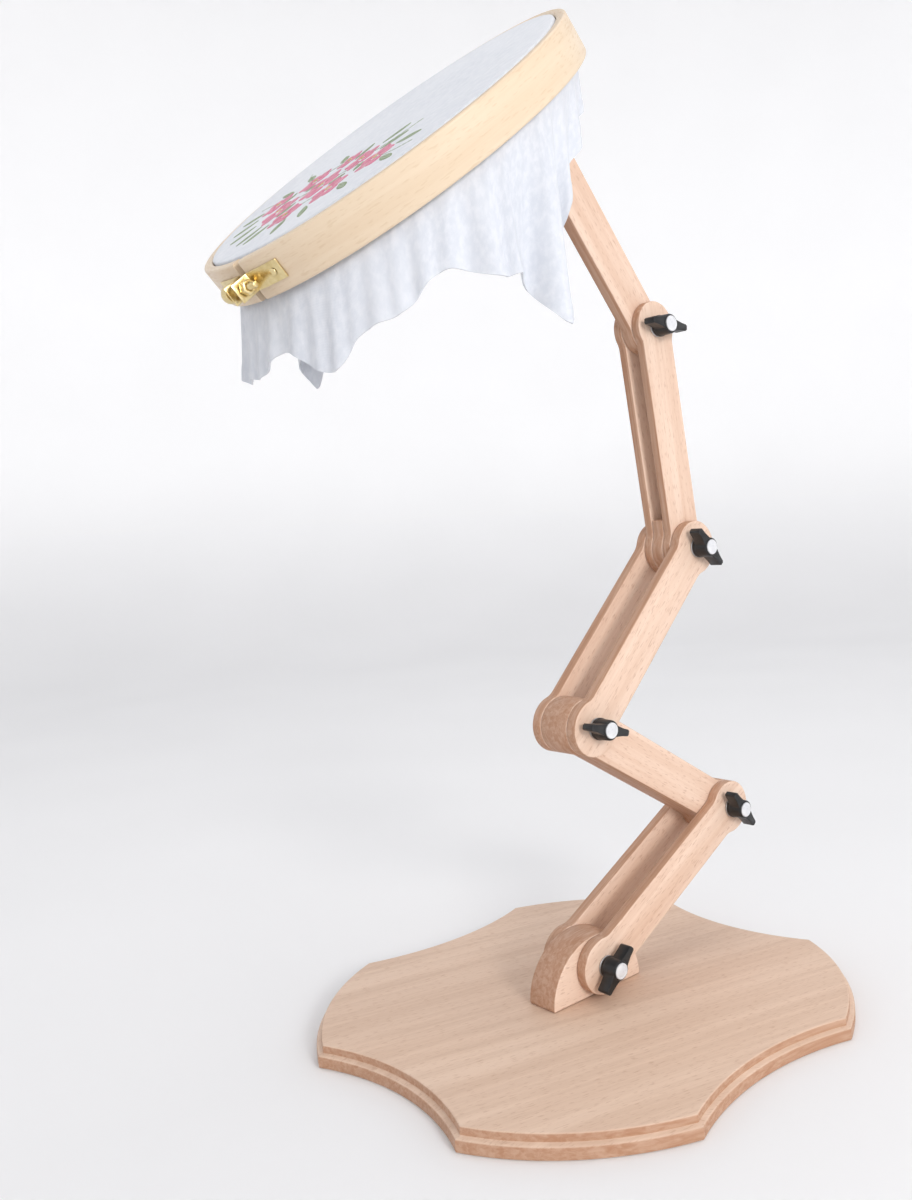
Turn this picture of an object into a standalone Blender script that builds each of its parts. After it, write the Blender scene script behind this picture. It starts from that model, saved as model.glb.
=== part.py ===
"""An embroidery hoop held by a wooden clamp on a five-link jointed arm, standing on a scalloped board.

World frame: the origin is the middle of the board's underside, +Z is up, and every hinge axis of the arm runs
along X, with the wing knobs on its +X side. Each link hangs from an empty on its lower hinge axis.
"""

import math

import bmesh
import bpy

MM = 0.001
GAP = 0.3 * MM  # between pieces that touch

# The board: a disc with four shallow scoops and a stepped, rounded edge.
BASE_RADIUS = 186 * MM
BASE_THICKNESS = 14 * MM
SCOOP_RADIUS = 190 * MM
SCOOP_MIDDLE = 156 * MM  # from the board's centre to the middle of a scoop
SCOOP_STEPS = 8
BULGE_STEPS = 9
EDGE_PROFILE = [  # (inset from the outline, height) up the moulded edge
    (1.2 * MM, 0.0),
    (0.0, 1.2 * MM),
    (0.0, 7.4 * MM),
    (1.0 * MM, 8.6 * MM),
    (3.4 * MM, 9.0 * MM),
    (3.4 * MM, 12.9 * MM),
    (4.5 * MM, BASE_THICKNESS),
]

# The foot block: a half disc on edge, fixed from below by two wood screws.
BAR_HALF = 13 * MM  # half the thickness of the foot, the single bar and the fork
FOOT_RADIUS = 42 * MM
FOOT_SCREW_Y = 26 * MM
FOOT_SCREW_SHANK = 2.0 * MM
FOOT_SCREW_HEAD = 4.5 * MM
FOOT_SCREW_HEAD_TALL = 3.0 * MM
FOOT_SCREW_TOP = 33 * MM

# The arm: five links of one length between hinge axes.
LINK = 164 * MM
FOOT_AXIS_Z = 36 * MM
LINK_ANGLES = [29.1, 148.2, 45.8, 97.7, 127.7]  # degrees from +Y towards +Z, from the foot up
BAR_WIDTH_HALF = 15.7 * MM
EYE = 20 * MM  # radius of a link's round end
FORK_EYE = 18.5 * MM
NECK = 14 * MM  # fillet between a round end and its bar
PLATE = 8.8 * MM
FORK_PLATE = 7.5 * MM
TOP_BAR_HALF = BAR_HALF - FORK_PLATE - GAP
FORK_FILLER = 24 * MM  # how far the fork's filler reaches past its hinge axis
CHAMFER = 0.9 * MM

# Bolts, washers and wing knobs: the same at all six joints.
BOLT = 4.0 * MM
BOLT_HOLE = BOLT + GAP
BOLT_HEAD = 9.0 * MM
BOLT_HEAD_TALL = 3.8 * MM
BOLT_IN_KNOB = 9.6 * MM
WASHER = 7.5 * MM
WASHER_THICK = 1.2 * MM
HUB_BACK = 7.7 * MM
HUB_FRONT = 7.0 * MM
HUB_LONG = 13.2 * MM
WING_REACH = 17.8 * MM
WING_ROOT_HALF = 4.6 * MM
WING_TIP_HALF = 2.3 * MM
WING_BEND = 8.4 * MM
WING_FROM = 3.0 * MM
WING_TO = 12.3 * MM
CAP = 5.5 * MM
CAP_SEAT = 11.4 * MM
KNOB_ANGLES = [45.0, 127.6, 164.2, 131.5, 174.5, 131.5]  # of the wings, degrees from +Y towards +Z

# The hoop clamp: a forked block whose rabbeted lower half is the lug that the top joint turns on.
HEAD_ANGLE = 131.0  # of the slot's opening, degrees from +Y towards +Z
HEAD_HALF = 15.5 * MM
LUG = 16 * MM  # radius about the top joint's axis
LUG_REAR_ANGLE = 280.0  # where the lug's round ends and its rear slope to the block starts
RABBET_TOP = 21 * MM
SLOT_FLOOR = 26.3 * MM
SLOT_FRONT = 0.6 * MM
SLOT_REAR = -15.8 * MM
PRONG = 7.5 * MM
PRONG_AXIS = 30.3 * MM
SCREW_DISC = 14.5 * MM
FRONT_DISC_THICK = 6.8 * MM
REAR_DISC_THICK = 9.0 * MM
REAR_SCREW_OUT = 1.2 * MM
FRONT_TIP_BACK = 1.4 * MM  # the front screw is drawn back into its prong by this much
REAR_TIP_OUT = 0.4 * MM  # the rear screw stands into the slot by this much
THROUGH = 40 * MM  # half length of a cutter that has to pass through the arm or the clamp

# The hoop: two rings 24 mm tall with the cloth between them.
RING_TALL_HALF = 12 * MM
INNER_RING = (115.0 * MM, 121.4 * MM)
OUTER_RING = (122.6 * MM, 129.0 * MM)
CLOTH_RADIUS = 121.9 * MM
CLOTH_THICK = 0.4 * MM
CLOTH_TOP = 12.7 * MM  # above the middle of the rings
RING_STEPS = 48
RING_CHAMFER = 1.2 * MM
RING_GAP_HALF = 1.4  # degrees, half of the outer ring's split
HOOP_OUT = 113.9 * MM  # from the top joint's axis to the hoop's centre, along the clamp's jaws
HOOP_UP = SLOT_FLOOR + 0.5 * MM + RING_TALL_HALF

# The cloth's loose skirt, which hangs straight down from the rings.
CLOTH_SQUARE_HALF = 180 * MM
CLOTH_TRIM = 177 * MM  # two opposite corners are cut off at this distance from the centre
CLOTH_USED = 147 * MM  # of the cloth's radius, taken up by the drum and by the rings' height
COLLAR_END = -13.2 * MM  # where the cloth leaves the rings, below their middle
COLLAR_SHORT = 0.8  # of that, over the clamp
HEM_OVER_CLAMP = 1.0 * MM
CLAMP_NOTCH = 21.0  # degrees either side of the clamp that the skirt leaves free

# The brass tightening screw across the outer ring's split.
BRACKET_SHEET = 1.0 * MM
BRACKET_TALL_HALF = 5.5 * MM
BRACKET_FAR = 14.0  # degrees from the middle of the split to the bracket's far end
BRACKET_NEAR = 1.6
BRACKET_LUG = 12.5 * MM
HOOP_SCREW = 2.0 * MM
HOOP_SCREW_OUT = 7.0 * MM  # from the ring's outer face to the screw's axis
HOOP_SCREW_HEAD = 5.0 * MM
HOOP_SCREW_HEAD_LONG = 9.0 * MM
HOOP_SCREW_END = 17 * MM
HOOP_NUT = 4.2 * MM
HOOP_NUT_LONG = 5.0 * MM
RIVET_ANGLE = 11.0
RIVET = 1.2 * MM
RIVET_HEAD = 2.4 * MM
RIVET_DEEP = 4.0 * MM

COLOURS = {  # name: (base colour, roughness, metallic)
    "beech": ((0.80, 0.60, 0.47), 0.55, 0.0),
    "clamp_wood": ((0.68, 0.46, 0.24), 0.50, 0.0),
    "ring_wood": ((0.90, 0.74, 0.50), 0.50, 0.0),
    "knob_plastic": ((0.02, 0.02, 0.022), 0.45, 0.0),
    "cap_plastic": ((0.82, 0.82, 0.84), 0.40, 0.0),
    "zinc_steel": ((0.62, 0.63, 0.65), 0.35, 1.0),
    "brass": ((0.78, 0.62, 0.28), 0.30, 1.0),
    "cotton": ((0.88, 0.89, 0.92), 0.90, 0.0),
}


def clear_scene():
    for obj in list(bpy.data.objects):
        bpy.data.objects.remove(obj, do_unlink=True)


def material(name):
    found = bpy.data.materials.get(name)
    if found:
        return found
    colour, roughness, metallic = COLOURS[name]
    made = bpy.data.materials.new(name)
    made.use_nodes = True
    shader = made.node_tree.nodes["Principled BSDF"]
    shader.inputs["Base Color"].default_value = (*colour, 1.0)
    shader.inputs["Roughness"].default_value = roughness
    shader.inputs["Metallic"].default_value = metallic
    return made


def empty(name, location, angle, parent=None):
    """An empty on a hinge axis: its local X is that axis and its local Y points along the link."""
    obj = bpy.data.objects.new(name, None)
    obj.empty_display_size = 0.02
    obj.location = location
    obj.rotation_euler = (math.radians(angle), 0.0, 0.0)
    obj.parent = parent
    bpy.context.collection.objects.link(obj)
    return obj


def mesh_from(bm, name, smooth_angle=35.0):
    bmesh.ops.recalc_face_normals(bm, faces=bm.faces)
    mesh = bpy.data.meshes.new(name)
    bm.to_mesh(mesh)
    bm.free()
    mesh.shade_smooth()
    mesh.set_sharp_from_angle(angle=math.radians(smooth_angle))
    return mesh


def add(name, mesh, look, parent=None, location=(0, 0, 0), rotation=(0, 0, 0)):
    obj = bpy.data.objects.new(name, mesh)
    if not mesh.materials:
        mesh.materials.append(material(look))
    obj.location = location
    obj.rotation_euler = rotation
    obj.parent = parent
    bpy.context.collection.objects.link(obj)
    return obj


def helper(name, mesh, parent=None, location=(0, 0, 0), rotation=(0, 0, 0)):
    """A cutter: it shapes other pieces and isn't one itself."""
    obj = add(name, mesh, "zinc_steel", parent, location, rotation)
    obj.hide_render = True
    obj.display_type = "WIRE"
    return obj


def boolean(obj, other, operation="DIFFERENCE"):
    modifier = obj.modifiers.new(operation.lower() + "_" + other.name, "BOOLEAN")
    modifier.operation = operation
    modifier.solver = "EXACT"
    modifier.object = other


def chamfer(obj, width=CHAMFER, angle=50.0):
    modifier = obj.modifiers.new("chamfer", "BEVEL")
    modifier.width = width
    modifier.segments = 1
    modifier.limit_method = "ANGLE"
    modifier.angle_limit = math.radians(angle)


def arc(centre, radius, start, end, steps):
    """Points along an arc, from start to end degrees, both included."""
    points = []
    for i in range(steps + 1):
        angle = math.radians(start + (end - start) * i / steps)
        points.append((centre[0] + radius * math.cos(angle), centre[1] + radius * math.sin(angle)))
    return points


def prism(outline, low, high, along="X"):
    """A closed outline extruded between two planes. Its points are (Y, Z) along X, and (X, Y) along Z."""
    bm = bmesh.new()
    if along == "X":
        start = [bm.verts.new((low, a, b)) for a, b in outline]
        step = (high - low, 0, 0)
    else:
        start = [bm.verts.new((a, b, low)) for a, b in outline]
        step = (0, 0, high - low)
    face = bm.faces.new(start)
    made = bmesh.ops.extrude_face_region(bm, geom=[face])
    moved = [v for v in made["geom"] if isinstance(v, bmesh.types.BMVert)]
    bmesh.ops.translate(bm, verts=moved, vec=step)
    return bm


def box(low, high):
    outline = [(low[1], low[2]), (high[1], low[2]), (high[1], high[2]), (low[1], high[2])]
    return prism(outline, low[0], high[0])


def turned(profile, steps=20):
    """A solid of revolution about X. The profile's points are (x, radius) and start and end on the axis,
    or go round a closed section that stays off it."""
    bm = bmesh.new()
    verts = [bm.verts.new((x, r, 0)) for x, r in profile]
    edges = [bm.edges.new(pair) for pair in zip(verts, verts[1:])]
    if min(r for _, r in profile) > 0:
        edges.append(bm.edges.new((verts[-1], verts[0])))
    spun = verts + edges
    bmesh.ops.spin(
        bm, geom=spun, cent=(0, 0, 0), axis=(1, 0, 0), angle=math.tau, steps=steps, use_merge=True
    )
    bmesh.ops.remove_doubles(bm, verts=bm.verts, dist=1e-7)
    return bm


def cylinder(radius, low, high, steps=20):
    return turned([(low, 0), (low, radius), (high, radius), (high, 0)], steps)


def base_outline(inset):
    """The board's outline, offset inwards: arcs of the disc between four scoops."""
    radius = BASE_RADIUS - inset
    scoop = SCOOP_RADIUS + inset
    away = SCOOP_MIDDLE + SCOOP_RADIUS
    half = math.degrees(math.acos((away**2 + scoop**2 - radius**2) / (2 * away * scoop)))
    corner = math.degrees(math.acos((away**2 + radius**2 - scoop**2) / (2 * away * radius)))
    points = []
    for side in range(4):
        turn = 90.0 * side
        centre = (away * math.cos(math.radians(turn)), away * math.sin(math.radians(turn)))
        points += arc(centre, scoop, turn + 180 + half, turn + 180 - half, SCOOP_STEPS)
        points += arc((0, 0), radius, turn + corner, turn + 90 - corner, BULGE_STEPS)[1:-1]
    return points


def lofted(rings):
    """A solid through rings of points of equal count, closed by a flat face at each end."""
    bm = bmesh.new()
    loops = [[bm.verts.new(p) for p in ring] for ring in rings]
    for lower, upper in zip(loops, loops[1:]):
        for i in range(len(lower)):
            j = (i + 1) % len(lower)
            bm.faces.new((lower[i], lower[j], upper[j], upper[i]))
    bm.faces.new(reversed(loops[0]))
    bm.faces.new(loops[-1])
    return bm


def foot_screw_profile(grow=0.0):
    """Half section along the screw, head at 0: grow widens it into the hole's section."""
    start = 0.6 * MM - 4 * grow
    neck = 0.6 * MM + FOOT_SCREW_HEAD_TALL + grow
    top = FOOT_SCREW_TOP + 2 * grow
    point = 4.0 * MM
    return [
        (start, 0),
        (start, FOOT_SCREW_HEAD + grow),
        (0.9 * MM, FOOT_SCREW_HEAD + grow),
        (neck, FOOT_SCREW_SHANK + grow),
        (top - point, FOOT_SCREW_SHANK + grow),
        (top, 0),
    ]


def build_base():
    rings = []
    for inset, height in EDGE_PROFILE:
        rings.append([(x, y, height) for x, y in base_outline(inset)])
    board = add("base_board", mesh_from(lofted(rings), "base_board"), "beech")

    outline = arc((0, BASE_THICKNESS + GAP), FOOT_RADIUS - GAP, 0, 180, 26)
    foot = add("foot_block", mesh_from(prism(outline, -BAR_HALF, BAR_HALF), "foot_block"), "beech")
    chamfer(foot, angle=60.0)

    upright = (0, math.radians(-90), 0)
    for side, y in (("front", -FOOT_SCREW_Y), ("back", FOOT_SCREW_Y)):
        screw = mesh_from(turned(foot_screw_profile(), 12), "foot_screw_" + side)
        add("foot_screw_" + side, screw, "zinc_steel", location=(0, y, 0), rotation=upright)
        hole = mesh_from(turned(foot_screw_profile(GAP), 12), "foot_hole_" + side)
        cutter = helper("foot_hole_" + side, hole, location=(0, y, 0), rotation=upright)
        boolean(board, cutter)
        boolean(foot, cutter)
    return foot


def end_arc(at, radius, direction):
    """A link's round end with the fillets of its neck. Direction is 1 at the far end, -1 at the near one."""
    out = math.sqrt((radius + NECK) ** 2 - (BAR_WIDTH_HALF + NECK) ** 2)
    touch = math.degrees(math.atan2(BAR_WIDTH_HALF + NECK, -out))
    upper = arc((-out, BAR_WIDTH_HALF + NECK), NECK, touch - 180, -90, 2)
    lower = [(u, -v) for u, v in reversed(upper)]
    points = lower + arc((0, 0), radius, -touch, touch, 16)[1:-1] + upper
    if direction < 0:
        points = [(-u, -v) for u, v in points]
    return [(at + u, v) for u, v in points]


def link_outline(near, far):
    """A bar with a round end on each hinge axis: counter-clockwise, the near axis at 0."""
    return end_arc(0, near, -1) + end_arc(LINK, far, 1)


def link_piece(name, outline, low, high, joint, holes):
    piece = add(name, mesh_from(prism(outline, low, high), name), "beech", joint)
    chamfer(piece)
    for hole in holes:
        boolean(piece, hole)
    return piece


def bolt_mesh(head_face, tip):
    """A round-headed bolt along X: the head's flat underside is at head_face and the shank ends at tip."""
    top = head_face - BOLT_HEAD_TALL
    profile = [
        (top, 0),
        (top + 0.5 * MM, 0.55 * BOLT_HEAD),
        (top + 1.6 * MM, 0.88 * BOLT_HEAD),
        (head_face - 0.6 * MM, BOLT_HEAD),
        (head_face, BOLT_HEAD),
        (head_face, BOLT),
        (tip - 1.0 * MM, BOLT),
        (tip, BOLT - 1.0 * MM),
        (tip, 0),
    ]
    return mesh_from(turned(profile, 12), "bolt")


def washer_mesh():
    profile = [
        (0, BOLT_HOLE),
        (0, WASHER),
        (WASHER_THICK, WASHER),
        (WASHER_THICK, BOLT_HOLE),
    ]
    return mesh_from(turned(profile, 12), "washer")


def knob_mesh():
    """A two-winged knob along X, its back at 0: the bore takes the bolt and the recess in front the cap."""
    hub = [
        (0, 0),
        (0, HUB_BACK - 0.6 * MM),
        (0.6 * MM, HUB_BACK),
        (HUB_LONG - 0.8 * MM, HUB_FRONT),
        (HUB_LONG, HUB_FRONT - 0.8 * MM),
        (HUB_LONG, 0),
    ]
    blade = []
    for sign in (1, -1):
        for u, v in (
            (-WING_REACH, WING_TIP_HALF - 1.2 * MM),
            (-WING_REACH + 1.2 * MM, WING_TIP_HALF),
            (-WING_BEND, 0.72 * WING_ROOT_HALF),
            (-0.3 * WING_BEND, WING_ROOT_HALF),
            (0.3 * WING_BEND, WING_ROOT_HALF),
            (WING_BEND, 0.72 * WING_ROOT_HALF),
            (WING_REACH - 1.2 * MM, WING_TIP_HALF),
            (WING_REACH, WING_TIP_HALF - 1.2 * MM),
        ):
            blade.append((u * sign, v * sign))
    knob = add("knob_form", mesh_from(turned(hub, 20), "knob_form"), "knob_plastic")
    wings = mesh_from(prism(blade, WING_FROM, WING_TO), "wings")
    bore = mesh_from(cylinder(BOLT_HOLE, -5 * MM, BOLT_IN_KNOB + GAP, 12), "bore")
    seat = mesh_from(cylinder(CAP + GAP, CAP_SEAT, 25 * MM, 16), "seat")
    aside = (math.radians(4.0), 0, 0)  # keeps the cutters' edges off the hub's own
    parts = [
        (helper("wing_form", wings), "UNION"),
        (helper("bore_form", bore, rotation=aside), "DIFFERENCE"),
        (helper("seat_form", seat, rotation=aside), "DIFFERENCE"),
    ]
    for form, operation in parts:
        boolean(knob, form, operation)
    bpy.context.view_layer.update()
    shaped = bpy.data.meshes.new_from_object(knob.evaluated_get(bpy.context.evaluated_depsgraph_get()))
    shaped.name = "wing_knob"
    shaped.shade_smooth()
    shaped.set_sharp_from_angle(angle=math.radians(40.0))
    for form in [knob] + [form for form, _ in parts]:
        bpy.data.objects.remove(form, do_unlink=True)
    shaped.materials.clear()
    return shaped


def cap_mesh():
    low = CAP_SEAT + GAP
    profile = [
        (low, 0),
        (low, CAP),
        (HUB_LONG + 0.1 * MM, CAP),
        (HUB_LONG + 0.5 * MM, CAP - 0.6 * MM),
        (HUB_LONG + 0.7 * MM, 0),
    ]
    return mesh_from(turned(profile, 18), "knob_cap")


def build_fasteners(joints, holders):
    """Bolt, washer, wing knob and cap at each joint. A holder is (the empty that the bolt belongs to,
    its place along that link, the outer face on the -X side, the outer face on the +X side)."""
    knob = knob_mesh()
    cap = cap_mesh()
    washer = washer_mesh()
    for number, (owner, at, back, front) in enumerate(holders):
        name = joints[number]
        seat = front + GAP + WASHER_THICK + GAP
        bolt = bolt_mesh(back - GAP, seat + BOLT_IN_KNOB)
        add(f"{name}_bolt", bolt, "zinc_steel", owner, (0, at, 0))
        add(f"{name}_washer", washer, "zinc_steel", owner, (front + GAP, at, 0))
        turn = math.radians(KNOB_ANGLES[number]) - owner.matrix_world.to_euler().x
        spot = (seat, at, 0)
        add(f"{name}_wing_knob", knob, "knob_plastic", owner, spot, (turn, 0, 0))
        add(f"{name}_knob_cap", cap, "cap_plastic", owner, spot, (turn, 0, 0))


def build_arm(foot):
    """The five links, each hung from an empty on its lower axis, and the six bolt holes through them."""
    joints = []
    parent = None
    before = 0.0
    spot = (0, 0, FOOT_AXIS_Z)
    for number, angle in enumerate(LINK_ANGLES + [HEAD_ANGLE]):
        parent = empty(f"axis_{number}", spot, angle - before, parent)
        joints.append(parent)
        before = angle
        spot = (0, LINK, 0)
    bpy.context.view_layer.update()

    hole = mesh_from(cylinder(BOLT_HOLE, -THROUGH, THROUGH, 12), "bolt_hole")
    holes = [helper(f"bolt_hole_{i}", hole, joint) for i, joint in enumerate(joints)]
    boolean(foot, holes[0])

    outer = (BAR_HALF + GAP, BAR_HALF + GAP + PLATE)
    pair = link_outline(EYE, EYE)
    for letter, number in (("a", 0), ("c", 2)):
        for side, sign in (("left", -1), ("right", 1)):
            low, high = sorted((sign * outer[0], sign * outer[1]))
            name = f"link_{letter}_plate_{side}"
            link_piece(name, pair, low, high, joints[number], holes[number : number + 2])

    link_piece("link_b_bar", pair, -BAR_HALF, BAR_HALF, joints[1], holes[1:3])

    fork = link_outline(EYE, FORK_EYE)
    for side, sign in (("left", -1), ("right", 1)):
        low, high = sorted((sign * (TOP_BAR_HALF + GAP), sign * BAR_HALF))
        link_piece(f"link_d_plate_{side}", fork, low, high, joints[3], holes[3:5])
    filler = end_arc(0, EYE, -1) + [(FORK_FILLER, -BAR_WIDTH_HALF), (FORK_FILLER, BAR_WIDTH_HALF)]
    link_piece("link_d_filler", filler, -TOP_BAR_HALF, TOP_BAR_HALF, joints[3], holes[3:4])

    top = link_outline(FORK_EYE, FORK_EYE)
    link_piece("link_e_bar", top, -TOP_BAR_HALF, TOP_BAR_HALF, joints[4], holes[4:6])

    plates = BAR_HALF + GAP + PLATE
    build_fasteners(
        [f"joint_{i}" for i in range(6)],
        [
            (joints[0], 0, -plates, plates),
            (joints[0], LINK, -plates, plates),
            (joints[2], 0, -plates, plates),
            (joints[2], LINK, -plates, plates),
            (joints[3], LINK, -BAR_HALF, BAR_HALF),
            (joints[4], LINK, -TOP_BAR_HALF, HEAD_HALF),
        ],
    )
    return joints[5], holes[5]


def build_clamp(head, bolt_hole):
    """The clamp block. In the head's frame Y is the way the slot opens and Z points towards the hoop."""
    front = SLOT_FRONT + PRONG
    rear = SLOT_REAR - PRONG
    tall = PRONG_AXIS + HEAD_HALF + 5 * MM  # cut down to the prongs' rounded tops below
    meets_front = math.degrees(math.asin(front / LUG))
    outline = arc((0, 0), LUG, meets_front, LUG_REAR_ANGLE, 18)
    outline += [(RABBET_TOP, rear), (tall, rear), (tall, front)]
    form = mesh_from(prism(outline, -HEAD_HALF, HEAD_HALF), "clamp_block")
    block = add("clamp_block", form, "clamp_wood", head)

    rounded = [(-THROUGH, HEAD_HALF), (-THROUGH, -HEAD_HALF)]
    rounded += arc((PRONG_AXIS, 0), HEAD_HALF, -90, 90, 16)
    mould = mesh_from(prism(rounded, -THROUGH, THROUGH), "prong_round")
    mould = helper("prong_round", mould, head, rotation=(0, math.radians(90), 0))
    boolean(block, mould, "INTERSECT")
    rabbet = box((-THROUGH, -THROUGH, -THROUGH), (TOP_BAR_HALF + GAP, RABBET_TOP, THROUGH))
    boolean(block, helper("rabbet", mesh_from(rabbet, "rabbet"), head))
    slot = box((-THROUGH, SLOT_FLOOR, SLOT_REAR), (THROUGH, 2 * THROUGH, SLOT_FRONT))
    boolean(block, helper("slot", mesh_from(slot, "slot"), head))
    chamfer(block, 0.8 * MM, 60.0)
    across = (0, math.radians(-90), 0)
    drill = mesh_from(cylinder(BOLT_HOLE, -THROUGH, THROUGH, 12), "screw_hole")
    boolean(block, helper("screw_hole", drill, head, (0, PRONG_AXIS, 0), across))
    boolean(block, bolt_hole)

    front_tip = SLOT_FRONT + FRONT_TIP_BACK
    build_clamp_screw("clamp_screw_front", head, front + GAP, FRONT_DISC_THICK, front_tip)
    rear_seat = rear - GAP - REAR_SCREW_OUT
    rear_tip = SLOT_REAR + REAR_TIP_OUT
    build_clamp_screw("clamp_screw_rear", head, rear_seat, REAR_DISC_THICK, rear_tip)


def build_clamp_screw(name, head, seat, thick, tip):
    """A wooden thumb screw along the head's Z: its disc starts at seat and its shank ends at tip."""
    out = 1 if seat > tip else -1
    long = abs(seat - tip)
    round_over = 2.0 * MM
    profile = [
        (-long, 0),
        (-long, BOLT - 0.6 * MM),
        (-long + 0.6 * MM, BOLT),
        (0, BOLT),
        (0, SCREW_DISC - 1.0 * MM),
        (1.0 * MM, SCREW_DISC),
        (thick - round_over, SCREW_DISC),
        (thick - 0.5 * MM, SCREW_DISC - 1.3 * MM),
        (thick, SCREW_DISC - 3.4 * MM),
        (thick, 0),
    ]
    turn = (0, math.radians(-90 * out), 0)
    add(name, mesh_from(turned(profile, 20), name), "clamp_wood", head, (0, PRONG_AXIS, seat), turn)


def ring_section(inner, outer):
    low = -RING_TALL_HALF
    high = RING_TALL_HALF
    cut = RING_CHAMFER
    return [
        (inner + cut, low),
        (outer - cut, low),
        (outer, low + cut),
        (outer, high - cut),
        (outer - cut, high),
        (inner + cut, high),
        (inner, high - cut),
        (inner, low + cut),
    ]


def swept_ring(section, start, end, steps):
    """A section of (radius, height) points carried round Z, closed on itself when it goes the whole way."""
    rings = []
    whole = end - start >= 360
    for i in range(steps if whole else steps + 1):
        angle = math.radians(start + (end - start) * i / steps)
        rings.append([(r * math.cos(angle), r * math.sin(angle), z) for r, z in section])
    if not whole:
        return lofted(rings)
    bm = bmesh.new()
    loops = [[bm.verts.new(p) for p in ring] for ring in rings]
    for here, there in zip(loops, loops[1:] + loops[:1]):
        for i in range(len(here)):
            j = (i + 1) % len(here)
            bm.faces.new((here[i], here[j], there[j], there[i]))
    return bm


def skirt_length(angle):
    """How far the cloth hangs below the rings at this angle: it is a square with two corners cut off."""
    diagonal = math.radians(angle - 45)
    square = CLOTH_SQUARE_HALF / max(abs(math.cos(diagonal)), abs(math.sin(diagonal)))
    across = abs(math.sin(math.radians(angle)))
    edge = min(square, CLOTH_TRIM / across) if across > 0.5 else square
    return edge - CLOTH_USED


def skirt_mesh():
    """The cloth from the top of the gap between the rings downwards: a collar in the gap, then the skirt,
    which leaves out the stretch over the clamp. It has no thickness yet."""
    tilt = math.radians(HEAD_ANGLE - 90)
    down = (0, -math.sin(tilt), -math.cos(tilt))
    bm = bmesh.new()
    loops = []
    for i in range(RING_STEPS):
        angle = 360 * i / RING_STEPS
        x = CLOTH_RADIUS * math.cos(math.radians(angle))
        y = CLOTH_RADIUS * math.sin(math.radians(angle))
        over_clamp = abs(angle - 90) < CLAMP_NOTCH
        start = (x, y, (COLLAR_SHORT if over_clamp else 1) * COLLAR_END)
        points = [(x, y, RING_TALL_HALF), start]
        fall = HEM_OVER_CLAMP if over_clamp else skirt_length(angle)
        direction = (0, 0, -1) if over_clamp else down
        for share in (0.5, 1.0):
            points.append(tuple(a + share * fall * b for a, b in zip(start, direction)))
        loops.append([bm.verts.new(p) for p in points])
    for here, there in zip(loops, loops[1:] + loops[:1]):
        for i in range(len(here) - 1):
            bm.faces.new((here[i], here[i + 1], there[i + 1], there[i]))
    return mesh_from(bm, "cloth_skirt", 60.0)


def build_bracket(name, hoop, side):
    """A brass angle on the outer ring, its lug standing outwards beside the split."""
    inside = OUTER_RING[1] + GAP
    outside = inside + BRACKET_SHEET
    start = 270 + side * BRACKET_NEAR
    end = 270 + side * BRACKET_FAR
    bend = start + side * math.degrees(1.8 * BRACKET_SHEET / outside)
    outline = arc((0, 0), inside, start, end, 6) + arc((0, 0), outside, end, bend, 6)
    edge = outline[0][0]
    lug_y = -inside - BRACKET_LUG
    beyond = edge + side * BRACKET_SHEET
    outline += [(beyond, outline[-1][1]), (beyond, lug_y), (edge, lug_y)]
    bm = prism(outline, -BRACKET_TALL_HALF, BRACKET_TALL_HALF, "Z")
    return add(name, mesh_from(bm, name), "brass", hoop)


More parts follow.
